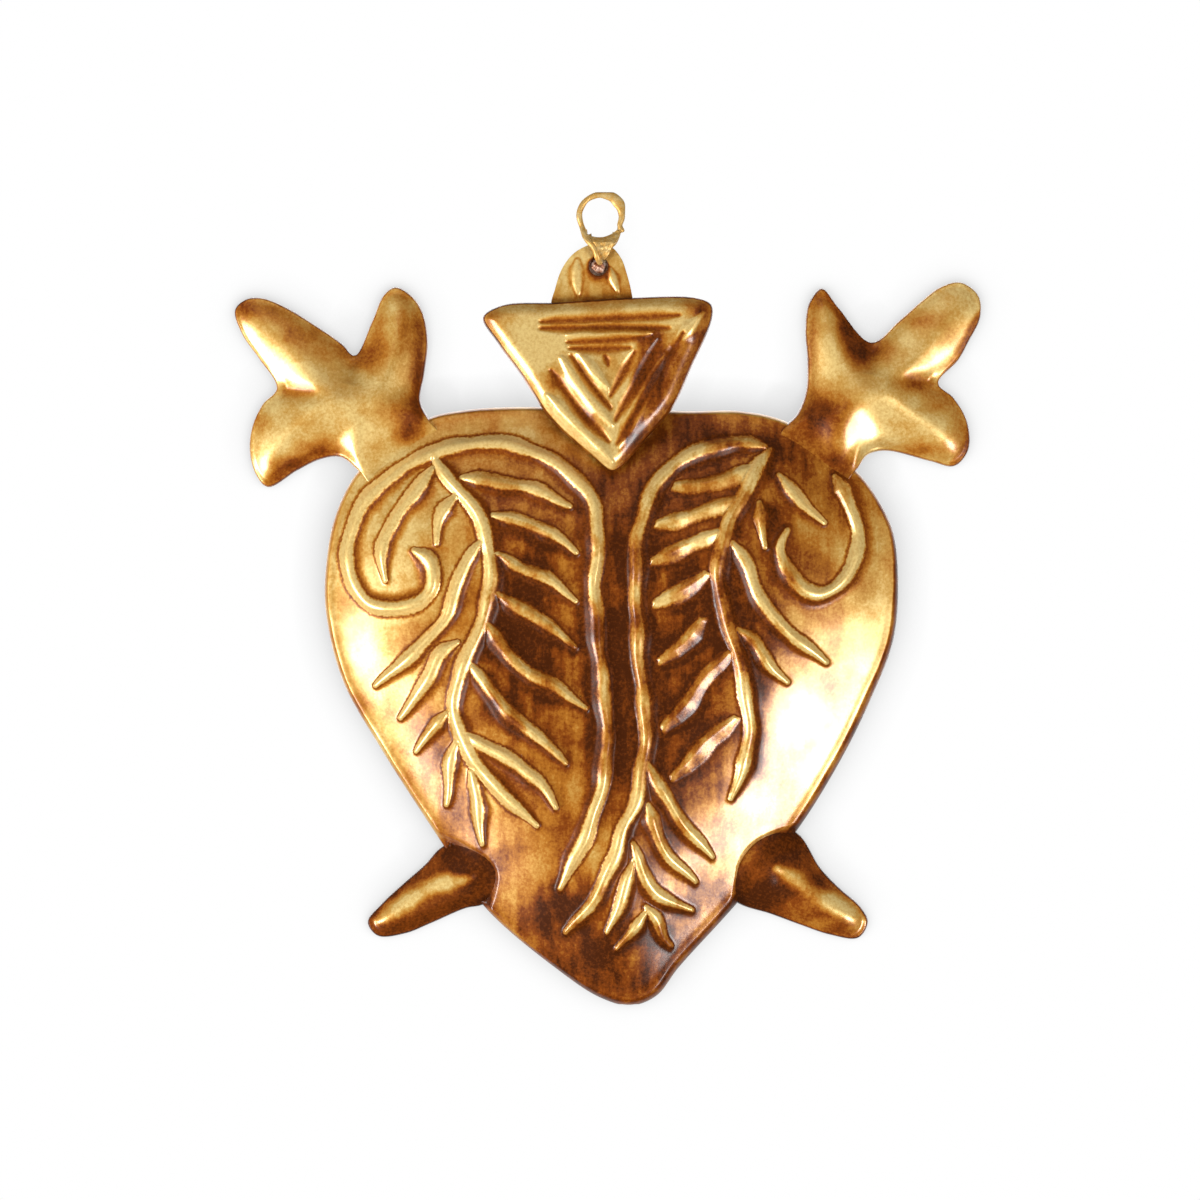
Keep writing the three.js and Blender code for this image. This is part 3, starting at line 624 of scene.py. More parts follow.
# %% Press the heart
HEART_CELLS = 158
HEART_BACK_CELLS = 90
INSIDE_RELIEF = 0.45
RIB_ZONE = 1.4
BAY_ZONE = 2.2
DENT_DEPTH = 0.09
SMALL_DENT_DEPTH = 0.035
RIM_WASH_AND_SHADE = 0.78
LIT_RIM_WASH = 0.35
POOLED_WASH_AND_SHADE = 0.45
POOLED_ABOVE = 0.35
POOLED_FROM = (0.35, 0.7)
RIM_TURN = (0, 40)
BAY_WASH_AND_SHADE = 0.4
BAY_WASH_AND_SHADE_FROM = (-1.0, 0.4)
BAY_WASH_AND_SHADE_TO = (2, 4)
HEART_WASH = 0.42
HEART_DABS = [
    (-46, -68, 14, 22, -0.3),
    (-46, -92, 14, 16, -0.2),
    (-36, -116, 10, 10, 0.1),
    (-12, -84, 10, 24, 0.4),
    (-18, -88, 5, 16, 0.2),
    (4, -74, 6, 30, 0.38),
    (4, -112, 5, 14, 0.34),
    (-24, -132, 12, 8, 0.12),
    (16, -80, 11, 30, 0.34),
    (17, -108, 8, 12, 0.25),
    (40, -68, 14, 16, 0.1),
    (33, -84, 5, 14, 0.18),
    (31, -104, 4, 12, 0.15),
    (38, -103, 5, 9, -0.2),
    (55, -84, 6, 20, -0.3),
    (46, -104, 9, 18, -0.15),
    (4, -154, 20, 12, 0.32),
    (-8, -143, 9, 7, 0.42),
    (-26, -147, 14, 6, 0.3),
    (18, -143, 10, 10, 0.1),
    # The next dab darkens the heart's lip beside the left point's root: painted shade.
    (-22.4, -137.4, 1.8, 4, 0.4),
    (-24, -46, 20, 5, -0.12),
    (24, -46, 24, 6, 0.22),
    (40, -50, 9, 6, 0.3),
]


def on_fine_work(x, z):
    across, _, _ = leaf_ribs(x, z)
    return (across < RIB_ZONE) | (np.abs(into_bay(x, z)) < BAY_ZONE)


def on_lit_leaves(x, z):
    across, _, _ = near_lit_leaves(x, z)
    return across < LIT_FOOT


def refine(sheet, wanted):
    """Halve the cells of the faces that touch the wanted ground."""
    x, _, z = read_back(sheet)
    corners = np.empty(len(sheet.data.loops), int)
    sheet.data.loops.foreach_get("vertex_index", corners)
    starts = np.empty(len(sheet.data.polygons), int)
    sheet.data.polygons.foreach_get("loop_start", starts)
    chosen = np.logical_or.reduceat(wanted(x, z)[corners], starts)
    edit_chosen(sheet, "FACE", chosen)
    bpy.ops.mesh.subdivide(number_cuts=1)
    stop_editing()


def ripple(x, z, along_x, along_z, shift=0):
    return np.sin(along_x * x + along_z * z + shift)


def dents(x, z):
    """The slow unevenness of a sheet that was worked by hand."""
    broad = DENT_DEPTH * ripple(x, z, 0.21, 0.13, 1) * ripple(x, z, -0.11, 0.17, 2)
    return broad + SMALL_DENT_DEPTH * ripple(x, z, 0.45, -0.31) * ripple(x, z, 0.2, 0.37)


def press_heart(name, cells, fine):
    sheet = flat_grid(name, cells)
    x, z = onto_outline(sheet, heart_brow, HEART_CENTRE)
    move_to(sheet, x, heart_dome(x, z), z)
    if fine:
        refine(sheet, on_fine_work)
        refine(sheet, on_lit_leaves)
    on_sheet = len(sheet.data.vertices)
    turn_down_rim(sheet, heart_brow, heart_rim, on_back_plane)
    x, height, z = read_back(sheet)
    across, under, lift = leaf_ribs(x, z)
    if not fine:
        lift *= INSIDE_RELIEF
    lift += dents(x, z)
    lift[on_sheet:] = 0
    move_to(sheet, x, sink_bays(height + lift, x, z), z)
    wash = paint(x, z, HEART_WASH, HEART_DABS)
    # Brown pooled round the ribs, with painted shade that makes it heavier below a rib than above it.
    pooled_and_shade = (1 - ease(across, 1.0, RIB_FAR)) * (POOLED_ABOVE + (1 - POOLED_ABOVE) * under)
    wash += POOLED_WASH_AND_SHADE * pooled_and_shade * ease(wash, *POOLED_FROM)
    # The turned-down rim is brown; painted shade darkens it towards the lower right, and it stays lighter
    # where it is lit.
    turned_away = ease(to_lower_right(x, z), *RIM_TURN)
    wash[on_sheet:] = (LIT_RIM_WASH + (RIM_WASH_AND_SHADE - LIT_RIM_WASH) * turned_away)[on_sheet:]
    # Where the heart's edge rolls down over the points' roots it is darker: brown with painted shade under
    # the lip.
    past_lip = into_bay(x, z)
    wash += BAY_WASH_AND_SHADE * ease(past_lip, *BAY_WASH_AND_SHADE_FROM) * (1 - ease(past_lip, *BAY_WASH_AND_SHADE_TO))
    set_masks(sheet, edge=np.arange(len(x)) >= on_sheet, rib=across / RIB_FAR, under=under, wash=wash)
    return sheet


heart = press_heart("heart", HEART_CELLS, fine=True)
heart_inside = press_heart("heart_inside", HEART_BACK_CELLS, fine=False)
normals = np.empty(len(heart_inside.data.vertices) * 3)
heart_inside.data.vertices.foreach_get("normal", normals)
shrunk = coordinates(heart_inside) - SHEET * MM * normals.reshape(-1, 3)
put_vertices(heart_inside, shrunk / MM)
edit(heart_inside)
bpy.ops.mesh.select_all(action="SELECT")
bpy.ops.mesh.flip_normals()
stop_editing()

# %% Join the inside to the front along the rim
join_as_second(heart, heart_inside)
edit_open_edges(heart)
bpy.ops.mesh.bridge_edge_loops()
stop_editing()
bpy.ops.object.shade_smooth()
hand_over(heart, "ornament", "heart_shell")

# %% [markdown]
# ## Arrow tails and points
# The arrows cross behind the heart, so only their leafy tails and blunt points show. Each is a smaller
# pressing whose root runs under the heart's rim. The part that lies under the heart's sheet is cut away, as
# the CAD pieces are scribed to the rim, so that only a thin line of it shows from behind.


# %% Finials
TAIL = dict(slot="arrow_gold", edge=1.5, root_edge=HEART_EDGE, slope=0.56, root_slope=0, droop=0.016,
            depth=1.5, rubbed=0, wash=0.14)
POINT = dict(slot="arrow_brown", edge=1.2, root_edge=1.2, slope=0.45, root_slope=0.35, droop=0, depth=0.6,
             rubbed=0.9, wash=0.84)
TAIL_NECK = 4.6
LEFT_POINT_NECK = 5.8
RIGHT_POINT_NECK = 4.8
FINIAL_FLARE = 0.4
FINIAL_BULGE = 1.5
BULGE_REACH = 0.9
FINIAL_ROUNDING = 1.1
FINIAL_CELLS = 120
FINIAL_RIDGE = 4
FINIAL_RIDGE_RISE = 0.3
FINIAL_EDGE_WASH = 0.22
FINIAL_SHADE = 4.4
FINIAL_TIP = 0.5
FINIAL_RUN = 4
SHADE_BROWN = 0.65
CREASE_BROWN = 0.35
NECK_RISE = 0.25
NECK_ROUND = 2
ROOT_RUN = 8
CREASE_REACH = 1.8
FACET_SLOPE = (-0.39, 0.25)
FACET_EDGE = 2.6
FACET_FROM = (0.5, 3.5)
DROOP_FROM = 6
NECK_BLEND = 0.4
CREASE_FROM = (0.4, 2.4)
TUCK = 0.7


def flatten(x, height, z, facets, amount):
    """Turn round patches of (x, z, reach) towards the right softbox, so that they shine as a whole."""
    for cx, cz, reach in facets:
        away = np.hypot(x - cx, z - cz)
        plane = height[np.argmin(away)] + FACET_SLOPE[0] * (x - cx) + FACET_SLOPE[1] * (z - cz)
        height = height + amount * np.exp(-((away / reach) ** FACET_EDGE)) * (plane - height)
    return height


def press_finial(name, node, points, centre, neck, shades, dabs, creases=(), facets=(), ridges=(), *, slot,
                 edge, root_edge, slope, root_slope, droop, depth, rubbed, wash):
    """A roof-like pressing with rounded edges that sinks to its neck and droops towards its tips."""
    rim = outline(points, centre)
    brow = inset(rim, FINIAL_FLARE)
    sheet = flat_grid(name, FINIAL_CELLS)
    x, z = onto_outline(sheet, brow, centre)
    free = ~inside(heart_cover, brow[:-1, 0], brow[:-1, 1])
    away = soft_reach(brow[:-1][free], x, z, FINIAL_ROUNDING)
    rise = FINIAL_BULGE * (1 - np.exp(-away / BULGE_REACH)) + slope * away
    from_heart, _ = nearest(heart_edge, x, z)
    signed = np.where(inside(heart_edge, x, z), -from_heart, from_heart)
    rise *= 1 - droop * np.clip(signed - DROOP_FROM, 0, None)
    saddle = np.sqrt(signed**2 + NECK_ROUND**2) - NECK_ROUND
    top = neck + 0.5 * (NECK_RISE + root_slope) * signed + 0.5 * (NECK_RISE - root_slope) * saddle
    low = edge + (root_edge - edge) * ease(-signed, -ROOT_RUN, 0)
    height = flatten(x, lower_of(low + rise, top, NECK_BLEND), z, facets, ease(away, *FACET_FROM))
    move_to(sheet, x, height, z)
    on_sheet = len(sheet.data.vertices)
    turn_down_rim(sheet, brow, rim, on_back_plane)
    x, height, z = read_back(sheet)
    from_rim, _ = nearest(rim, x, z)
    pressed = valley(x, z, creases, depth, CREASE_REACH) * ease(from_rim, *CREASE_FROM)
    across, full, _ = near_ribs(x, z, ridges, FINIAL_RIDGE, FINIAL_TIP, FINIAL_RUN, FINIAL_RUN)
    lift = cord_lift(across, full, FINIAL_RIDGE_RISE) - pressed + dents(x, z)
    lift[on_sheet:] = 0
    height = height + lift
    move_to(sheet, x, height, z)
    brown = paint(x, z, wash, dabs)
    brown[on_sheet:] += FINIAL_EDGE_WASH
    crest = rubbed * full * (1 - ease(across, 0.1, 1.4))
    # Painted shade along each finial's shade lines, added to the brown of its creases.
    across, full, _ = near_ribs(x, z, shades, FINIAL_SHADE, FINIAL_TIP, FINIAL_RUN, FINIAL_RUN)
    shaded = SHADE_BROWN * full * (1 - ease(across, 0.4, 1.1))
    set_masks(sheet, crest=crest, hollow=CREASE_BROWN * pressed / depth + shaded, wash=brown,
              edge=np.arange(len(x)) >= on_sheet)
    covered = inside(heart_cover, x, z) & (height < sink_bays(heart_dome(x, z), x, z) - TUCK)
    cut_away(sheet, covered)
    open_two_slots(sheet)
    thicken(sheet, SHEET)
    hand_over(sheet, "ornament", node)
    return sheet


# %% Left and right tails
LEFT_TAIL_CENTRE = (-49, -40.5)
LEFT_TAIL_OUTLINE = [
    (-34.4, -43.6), (-36, -40), (-35.2, -34.4), (-34.6, -28), (-35.8, -22), (-38.4, -18.6), (-41.2, -17.4),
    (-43.4, -19), (-45.6, -24), (-49.2, -31), (-51.6, -28.8), (-58, -24.4), (-63, -21.4), (-67.6, -19.6),
    (-71, -19.8), (-73.2, -22), (-71.6, -27), (-68.4, -31.6), (-64.8, -37.6), (-67.6, -40.8), (-69.6, -45),
    (-70.2, -50), (-69, -54.8), (-66.6, -57.4), (-60.6, -54), (-56, -51.8), (-52, -51.4), (-48.6, -54),
    (-45.4, -57.4), (-37.6, -52.6), (-32, -46.8),
]
RIGHT_TAIL_CENTRE = (54, -38)
RIGHT_TAIL_OUTLINE = [
    (39.4, -42.6), (41.2, -38), (41.4, -32), (41, -26), (41.8, -20.4), (44.3, -17.6), (47.6, -21.4),
    (54.2, -28.4), (60, -23.9), (64, -20.4), (68, -17.4), (72, -16.4), (75.6, -19), (76, -23.4),
    (73.6, -28.4), (71.6, -32), (67.6, -36.6), (70.6, -39.4), (73.4, -44.4), (73.6, -50), (70.8, -53.2),
    (66, -52.2), (57, -50.1), (53.4, -51), (51.4, -53.8), (48.2, -57.2), (41.6, -52.4), (35.6, -47.2),
]
LEFT_TAIL_CREASES = [
    [(-64.8, -37.6), (-60, -38.6), (-53, -39.8)],
    [(-49.2, -31), (-49.4, -34), (-50, -37)],
]
RIGHT_TAIL_CREASES = [
    [(67.6, -36.6), (63, -36.4), (57, -36)],
    [(54.2, -28.4), (54, -32), (53.6, -35)],
]
RIGHT_TAIL_FACETS = [(51.4, -46.6, 5.6)]
LEFT_TAIL_SHADES = [
    [(-67, -57), (-61, -53.4), (-56, -51.2), (-53, -50.8)],
    [(-36.4, -44), (-35.8, -38), (-35.2, -33)],
]
RIGHT_TAIL_SHADES = [
    [(76.4, -22.4), (74, -28.4), (71.8, -32.2), (68.4, -36)],
    [(45, -17.6), (48.6, -22.6), (53.6, -28.6)],
    [(74, -45), (73.8, -50), (70.6, -53)],
]
# In both tails' dabs, the brown on the upward facets and at the roots beside the heart is partly painted
# shade, as these parts face away from the low softboxes or lie against the heart.
LEFT_TAIL_DABS = [
    (-66, -21.8, 5, 2.6, 0.4),
    (-59, -26.2, 5, 3, 0.42),
    (-53, -30.4, 4, 3, 0.4),
    (-71.8, -21.4, 2.4, 2.6, 0.4),
    (-60, -38.2, 5, 1.2, 0.4),
    (-68.6, -44.6, 2, 4, 0.4),
    (-57, -49.8, 5, 1.6, 0.4),
    (-62, -52.8, 3.4, 1.6, 0.45),
    (-40.5, -18.8, 3.4, 2, 0.35),
    (-36.2, -27, 2.2, 8, 0.45),
    (-39.4, -25, 1.4, 6, 0.25),
    (-44.6, -26, 2, 6, 0.3),
    (-46.6, -32, 3, 3, 0.25),
    (-37.4, -42, 2.4, 5, 0.4),
    (-42, -41, 3, 3, 0.25),
    (-39.5, -47.4, 2, 2, 0.35),
    (-36.6, -35, 1.6, 5, 0.3),
    (-37, -46.4, 3, 2.4, 0.3),
]
RIGHT_TAIL_DABS = [
    (42, -28, 1.5, 10, 0.5),
    (49, -25.4, 2.2, 5, 0.6),
    (51.6, -30.6, 2.8, 4, 0.6),
    (44.4, -19.6, 2.2, 2.4, 0.45),
    (45, -41.4, 6, 4.4, 0.6),
    (40.6, -47, 6, 4.4, 0.65),
    (46, -52.6, 5, 3.2, 0.6),
    (49.6, -54.4, 2, 3, 0.4),
    (62, -23.8, 6.5, 2.8, 0.4),
    (56, -30, 3, 3, 0.3),
    (63, -36.8, 6, 1.8, 0.5),
    (68.4, -40.2, 5, 3, 0.55),
    (72.6, -45, 2, 5, 0.35),
    (64, -50, 7, 1.5, 0.4),
]
left_tail = press_finial("left_tail", "left_fletching", LEFT_TAIL_OUTLINE, LEFT_TAIL_CENTRE, TAIL_NECK,
                         LEFT_TAIL_SHADES, LEFT_TAIL_DABS, creases=LEFT_TAIL_CREASES, **TAIL)
right_tail = press_finial("right_tail", "right_fletching", RIGHT_TAIL_OUTLINE, RIGHT_TAIL_CENTRE, TAIL_NECK,
                          RIGHT_TAIL_SHADES, RIGHT_TAIL_DABS, creases=RIGHT_TAIL_CREASES,
                          facets=RIGHT_TAIL_FACETS, **TAIL)

# %% Left and right points
LEFT_POINT_CENTRE = (-29, -136)
LEFT_POINT_OUTLINE = [
    (-31.8, -129.4), (-35, -132.8), (-40, -137.2), (-44, -141), (-46.6, -144.4), (-44.6, -147.2),
    (-39, -146.7), (-34, -144.7), (-27, -141.7), (-23.6, -141), (-17.4, -137.4), (-18, -131.4),
    (-24.4, -126.6),
]
RIGHT_POINT_CENTRE = (35, -135.4)
RIGHT_POINT_OUTLINE = [
    (39.4, -126.6), (44, -133.6), (48, -137.8), (52, -141.4), (53.5, -144.4), (51.6, -147.6), (46, -147),
    (40, -145), (34, -142.8), (27.4, -140.6), (22.6, -136), (25, -129), (32.6, -124.4),
]
LEFT_POINT_RIDGES = [
    [(-44.6, -144.2), (-40, -140.9), (-35.4, -137.9), (-30, -136.2), (-26, -135.4)],
]
RIGHT_POINT_RIDGES = [
    [(52.6, -144), (45, -139.8), (39, -136), (35.4, -133.6)],
]
RIGHT_POINT_GROOVES = [
    [(36, -135.8), (39.4, -138.4), (42, -140.4)],
]
LEFT_POINT_SHADES = [
    [(-25, -139), (-24, -135), (-26.6, -131.6)],
    [(-40, -145.4), (-33, -142.6), (-26, -140)],
]
RIGHT_POINT_SHADES = [
    [(41, -128.6), (37, -128.8), (33, -130.4), (30.4, -133.6)],
    [(29.4, -134), (29, -138)],
]
LEFT_POINT_DABS = [
    (-29, -135.4, 6, 3, 0.25),
    (-42, -141, 2.4, 1.6, -0.15),
    (-30, -130.6, 4, 2, 0.1),
    (-33, -143, 9, 2.2, 0.06),
]
RIGHT_POINT_DABS = [
    # The first dab darkens the root under the heart's lip: painted shade.
    (36.6, -128.4, 4.4, 3, 0.25),
    (46, -140.4, 6, 2.6, -0.45),
    (51.6, -145.4, 2.4, 1.8, -0.5),
    (44, -144.6, 4, 1.4, -0.2),
]
left_point = press_finial("left_arrow_point", "left_point", LEFT_POINT_OUTLINE, LEFT_POINT_CENTRE,
                          LEFT_POINT_NECK, LEFT_POINT_SHADES, LEFT_POINT_DABS, ridges=LEFT_POINT_RIDGES,
                          **POINT)
right_point = press_finial("right_arrow_point", "right_point", RIGHT_POINT_OUTLINE, RIGHT_POINT_CENTRE,
                           RIGHT_POINT_NECK, RIGHT_POINT_SHADES, RIGHT_POINT_DABS,
                           creases=RIGHT_POINT_GROOVES, ridges=RIGHT_POINT_RIDGES, **POINT)

# %% [markdown]
# ## The triangle plaque
# Three nested triangles are chased into the plaque: raised bands with grooves between them. No two of their
# sides are quite alike, so each band and groove is a short line of its own, and the distance from it gives
# the relief.

# %% Plaque
PLAQUE_CENTRE = (1, -31)
PLAQUE_FACE = 11.2
PLAQUE_LEAN = 0.05
PLAQUE_EDGE = 1.6
PLAQUE_SHOULDER = 2.6
PLAQUE_FLARE = 0.5
PLAQUE_TOP = -20
PLAQUE_FOOT = 8.2
PLAQUE_FOOT_LOW = 4.4
PLAQUE_FOOT_END = -41
PLAQUE_CELLS = 150
PLAQUE_WASH = 0.08
PLAQUE_OUTLINE = [
    (-23.4, -23.8), (-19.6, -21.4), (-8, -20.8), (6, -19.9), (18.8, -19.9), (22, -21.2), (22.2, -24),
    (18, -34), (14.6, -41.4), (8.6, -48.6), (4.4, -53.6), (2.2, -54.6), (-2, -51.4), (-10, -44), (-16, -35),
    (-20.4, -29),
]
PLAQUE_RIDGE_WIDTH = 3.0
PLAQUE_RIDGE_RISE = 0.8
PLAQUE_RIDGE_ENDS = (0.3, 4, 4)
PLAQUE_GROOVE_ENDS = (0.5, 3, 3)
PLAQUE_GROOVE_WIDTH = 2.2
PLAQUE_GROOVE_DEPTH = 0.5
PLAQUE_SOFTENING = 6
PLAQUE_CREST = 0.5
PLAQUE_HOLLOW = 0.8
PLAQUE_SHADE = 0.62
PLAQUE_SHADE_EDGE = (-0.8, 1.8)
PLAQUE_SHADE_FOOT = (2.6, -53.9)
PLAQUE_SHADE_LEAN = 0.177
PLAQUE_SHADE_TOP = (-28, -24.5)
PLAQUE_RIDGES = [
    [(-10.6, -39.4), (-4, -46.2), (2.4, -53)],
    [(-7.8, -32), (-3.4, -38.4), (2.2, -45.2)],
    [(-4.4, -31), (-1.4, -34.6), (1.6, -38)],
    [(20.4, -23), (17.4, -26.2), (14.6, -29.4)],
    [(-6.6, -27.4), (1, -27.2), (10, -26.9)],
    [(13, -31.4), (8.6, -39.4), (3.6, -49.4)],
]
PLAQUE_GROOVES = [
    [(-11.7, -24.8), (2, -24.2), (15.6, -23.5)],
    [(-11.7, -26.1), (2, -26), (13.5, -26.1)],
    [(-6.5, -28.9), (1, -28.6), (7.8, -28)],
    [(-6, -30.1), (0, -30.2), (5.8, -30)],
    [(-9.8, -34.6), (-5, -41.4), (1.6, -48.6)],
    [(-5.8, -31.6), (-2, -37.2), (1.9, -42)],
    [(16.4, -27), (10, -37.6), (3.4, -49)],
    [(11.6, -28.6), (7.4, -36.4), (3, -44.4)],
    [(6.8, -30.8), (4.6, -35), (2, -39.6)],
    [(0.9, -31.6), (1.5, -33.4)],
]
PLAQUE_DABS = [
    # The first dab darkens the top edge below the tab: painted shade.
    (0, -20.4, 24, 1.1, 0.2),
    (-10.6, -36, 2.4, 3.4, 0.3),
    (9.5, -27.6, 3, 1.6, 0.35),
    (20, -22.6, 3, 2.4, 0.5),
    (20, -27, 2.4, 5, 0.4),
    (14.4, -27.6, 2, 2.4, -0.25),
    (-14, -37.4, 1.8, 2.6, 0.45),
    (-22, -25, 1.4, 2.6, 0.3),
    (-9, -36, 1.6, 3, 0.25),
    (-2.6, -44, 2.6, 2.6, 0.3),
    (0, -27.2, 7, 0.7, 0.2),
]
plaque_rim = outline(PLAQUE_OUTLINE, PLAQUE_CENTRE)
plaque_brow = inset(plaque_rim, PLAQUE_FLARE)


def plaque_foot(x, z):
    fall = np.clip((PLAQUE_TOP - z) / (PLAQUE_TOP - PLAQUE_FOOT_END), 0, 1)
    return PLAQUE_FOOT + (PLAQUE_FOOT_LOW - PLAQUE_FOOT) * fall


def plaque_relief(x, z):
    across, full, _ = near_ribs(x, z, PLAQUE_RIDGES, PLAQUE_RIDGE_WIDTH, *PLAQUE_RIDGE_ENDS)
    lift = cord_lift(across, full, PLAQUE_RIDGE_RISE)
    crest = 1 - ease(across, 0.5, 1.1)
    across, full, _ = near_ribs(x, z, PLAQUE_GROOVES, PLAQUE_GROOVE_WIDTH, *PLAQUE_GROOVE_ENDS)
    cut = cord_lift(across, full, PLAQUE_GROOVE_DEPTH)
    hollow = 1 - ease(across, 0.0, 1.4)
    return lift - cut, crest * (1 - hollow), hollow


plaque = flat_grid("plaque", PLAQUE_CELLS)
x, z = onto_outline(plaque, plaque_brow, PLAQUE_CENTRE)
away, _ = nearest(plaque_brow, x, z)
height = PLAQUE_FACE + PLAQUE_LEAN * (PLAQUE_TOP - z) - PLAQUE_EDGE * (1 - swell(away, PLAQUE_SHOULDER))
move_to(plaque, x, height, z)
soften(plaque, PLAQUE_SOFTENING)
on_sheet = len(plaque.data.vertices)
turn_down_rim(plaque, plaque_brow, plaque_rim, plaque_foot)
x, height, z = read_back(plaque)
lift, crest, hollow = plaque_relief(x, z)
lift[on_sheet:] = 0
height += lift
move_to(plaque, x, height, z)
wash = paint(x, z, PLAQUE_WASH, PLAQUE_DABS)
right_of = x - PLAQUE_SHADE_FOOT[0] - PLAQUE_SHADE_LEAN * (z - PLAQUE_SHADE_FOOT[1])
wash += PLAQUE_SHADE * ease(right_of, *PLAQUE_SHADE_EDGE) * (1 - ease(z, *PLAQUE_SHADE_TOP))
# The plaque's turned-down rim gets the same brown with painted shade as the heart's.
wash[on_sheet:] = RIM_WASH_AND_SHADE
set_masks(plaque, edge=np.arange(len(x)) >= on_sheet, crest=PLAQUE_CREST * crest,
          hollow=PLAQUE_HOLLOW * hollow, wash=wash)
covered = inside(heart_cover, x, z) & (height < heart_dome(x, z) - TUCK)
cut_away(plaque, covered)
open_two_slots(plaque)
thicken(plaque, SHEET)
hand_over(plaque, "ornament", "triangle_plaque")

# %% [markdown]
# ## The hanger tab
# The tab is a flat tongue with a punched hole. A circle the size of the hole is extruded outwards, row by
# row, until it reaches the outline, which leaves a clean hole without a boolean cut.

# %% Tab
TAB_SHEET = 0.6
TAB_FRONT = BACK_PLANE + TAB_SHEET / 2
TAB_HOLE = (-0.4, -13.6)
TAB_HOLE_RADIUS = 1.9
TAB_ROWS = 24
TAB_POINTS = 160
TAB_OUTLINE = [
    (-9.8, -22), (-9, -18), (-7.6, -14), (-5, -10.8), (-1, -9.1), (2.2, -9.8), (4.2, -12.2), (5.2, -15),
    (6.2, -19), (6.6, -23), (4, -27.6), (-6, -27.6),
]
TAB_CORDS = [
    [(-4.6, -12.6), (-4.8, -16), (-4.4, -19)],
    [(1.9, -14.4), (2.6, -16.4), (3.4, -18.4)],
]
TAB_CORD_WIDTH = 1.8
TAB_CORD_RISE = 0.45
TAB_CORD_ENDS = (0.5, 1.5, 2)
TAB_CREST = 0.6
TAB_CORD_BROWN = 0.5
HOLE_SHADE_REACH = 0.1
TAB_WASH = 0.24
TAB_DABS = [
    (0, -10, 8, 3, -0.1),
    # The next dab darkens the tab's foot under the plaque's top edge: painted shade.
    (0, -20.6, 9, 2, 0.3),
]
deselect_everything()
bpy.ops.mesh.primitive_circle_add(vertices=TAB_POINTS, radius=1)
tab = named("tab")
edit(tab, "EDGE")
bpy.ops.mesh.select_all(action="SELECT")
for _ in range(TAB_ROWS):
    bpy.ops.mesh.extrude_edges_move()
stop_editing()
turn = np.arctan2(coordinates(tab)[:, 1], coordinates(tab)[:, 0])
row = np.arange(len(turn)) // TAB_POINTS / TAB_ROWS
tab_loop = outline(TAB_OUTLINE, TAB_HOLE)
start = math.atan2(tab_loop[0, 1] - TAB_HOLE[1], tab_loop[0, 0] - TAB_HOLE[0])
tab_edge = along(tab_loop, ((turn - start) / (2 * math.pi)) % 1)
hole_edge = np.array(TAB_HOLE) + TAB_HOLE_RADIUS * np.column_stack([np.cos(turn), np.sin(turn)])
x, z = (hole_edge + row[:, None] * (tab_edge - hole_edge)).T
across, full, _ = near_ribs(x, z, TAB_CORDS, TAB_CORD_WIDTH, *TAB_CORD_ENDS)
move_to(tab, x, TAB_FRONT + cord_lift(across, full, TAB_CORD_RISE), z)
# Brown beside the cords, and painted shade round the edge of the hole.
brown = TAB_CORD_BROWN * bell(across, 1.4, 0.4) + bell(row, 0, HOLE_SHADE_REACH)
set_masks(tab, crest=TAB_CREST * (1 - ease(across, 0.4, 1.1)), hollow=brown,
          wash=paint(x, z, TAB_WASH, TAB_DABS), edge=row == 1)
face_outwards(tab)
if tab.data.polygons[0].normal.y > 0:
    tab.data.flip_normals()
open_two_slots(tab)
thicken(tab, TAB_SHEET)
hand_over(tab, "ornament", "hanger_tab")

# %% [markdown]
# ## The wire ring
# The ring is a loop of wire whose two legs are pinched together, one in front of the tab and one behind,
# and meet in the hole. A torus has the right closed tube, so its rings are carried along the wire's path
# and made a little uneven, as hand-bent and painted wire is. Solder fills the V between the legs in front,
# and a lump of it sits in the tab's hole around the foot.

# %% Wire path
WIRE_RADIUS = 0.58
EYE_RADIUS = 3.65
LINK_HEIGHT = -12.6
LEG_SPREAD = 2.2
FOOT_PLAY = 0.3
HOOP_RADIUS = EYE_RADIUS + WIRE_RADIUS
hoop = [
    (HOOP_RADIUS * math.cos(math.radians(a)), 0, HOOP_RADIUS * math.sin(math.radians(a)) - EYE_RADIUS)
    for a in range(-30, 211, 30)
]
WIRE_PATH = [
    (0, 0, LINK_HEIGHT - FOOT_PLAY),
    (0.7, 0.8 * LEG_SPREAD, LINK_HEIGHT + 0.7 - FOOT_PLAY),
    (1.6, LEG_SPREAD, LINK_HEIGHT + 2.6),
    (3, 0.6 * LEG_SPREAD, LINK_HEIGHT + 4.4),
    *hoop,
    (-2.8, -0.6 * LEG_SPREAD, LINK_HEIGHT + 4.4),
    (-1.3, -LEG_SPREAD, LINK_HEIGHT + 2.6),
    (-0.5, -0.8 * LEG_SPREAD, LINK_HEIGHT + 0.7 - FOOT_PLAY),
]
wire_line = smooth_line(WIRE_PATH, closed=True, step=0.2)


def carry_along(line, share):
    """Centres and two cross directions for sections along a closed line, without twist."""
    centres = along(line, share)
    ahead = along(line, (share + 0.002) % 1) - along(line, (share - 0.002) % 1)
    ahead /= np.linalg.norm(ahead, axis=1)[:, None]
    first = np.array([0.0, 0.0, 1.0])
    sides = []
    for forward in ahead:
        first = first - (first @ forward) * forward
        first /= np.linalg.norm(first)
        sides.append(first)
    sides = np.array(sides)
    return centres, sides, np.cross(ahead, sides)


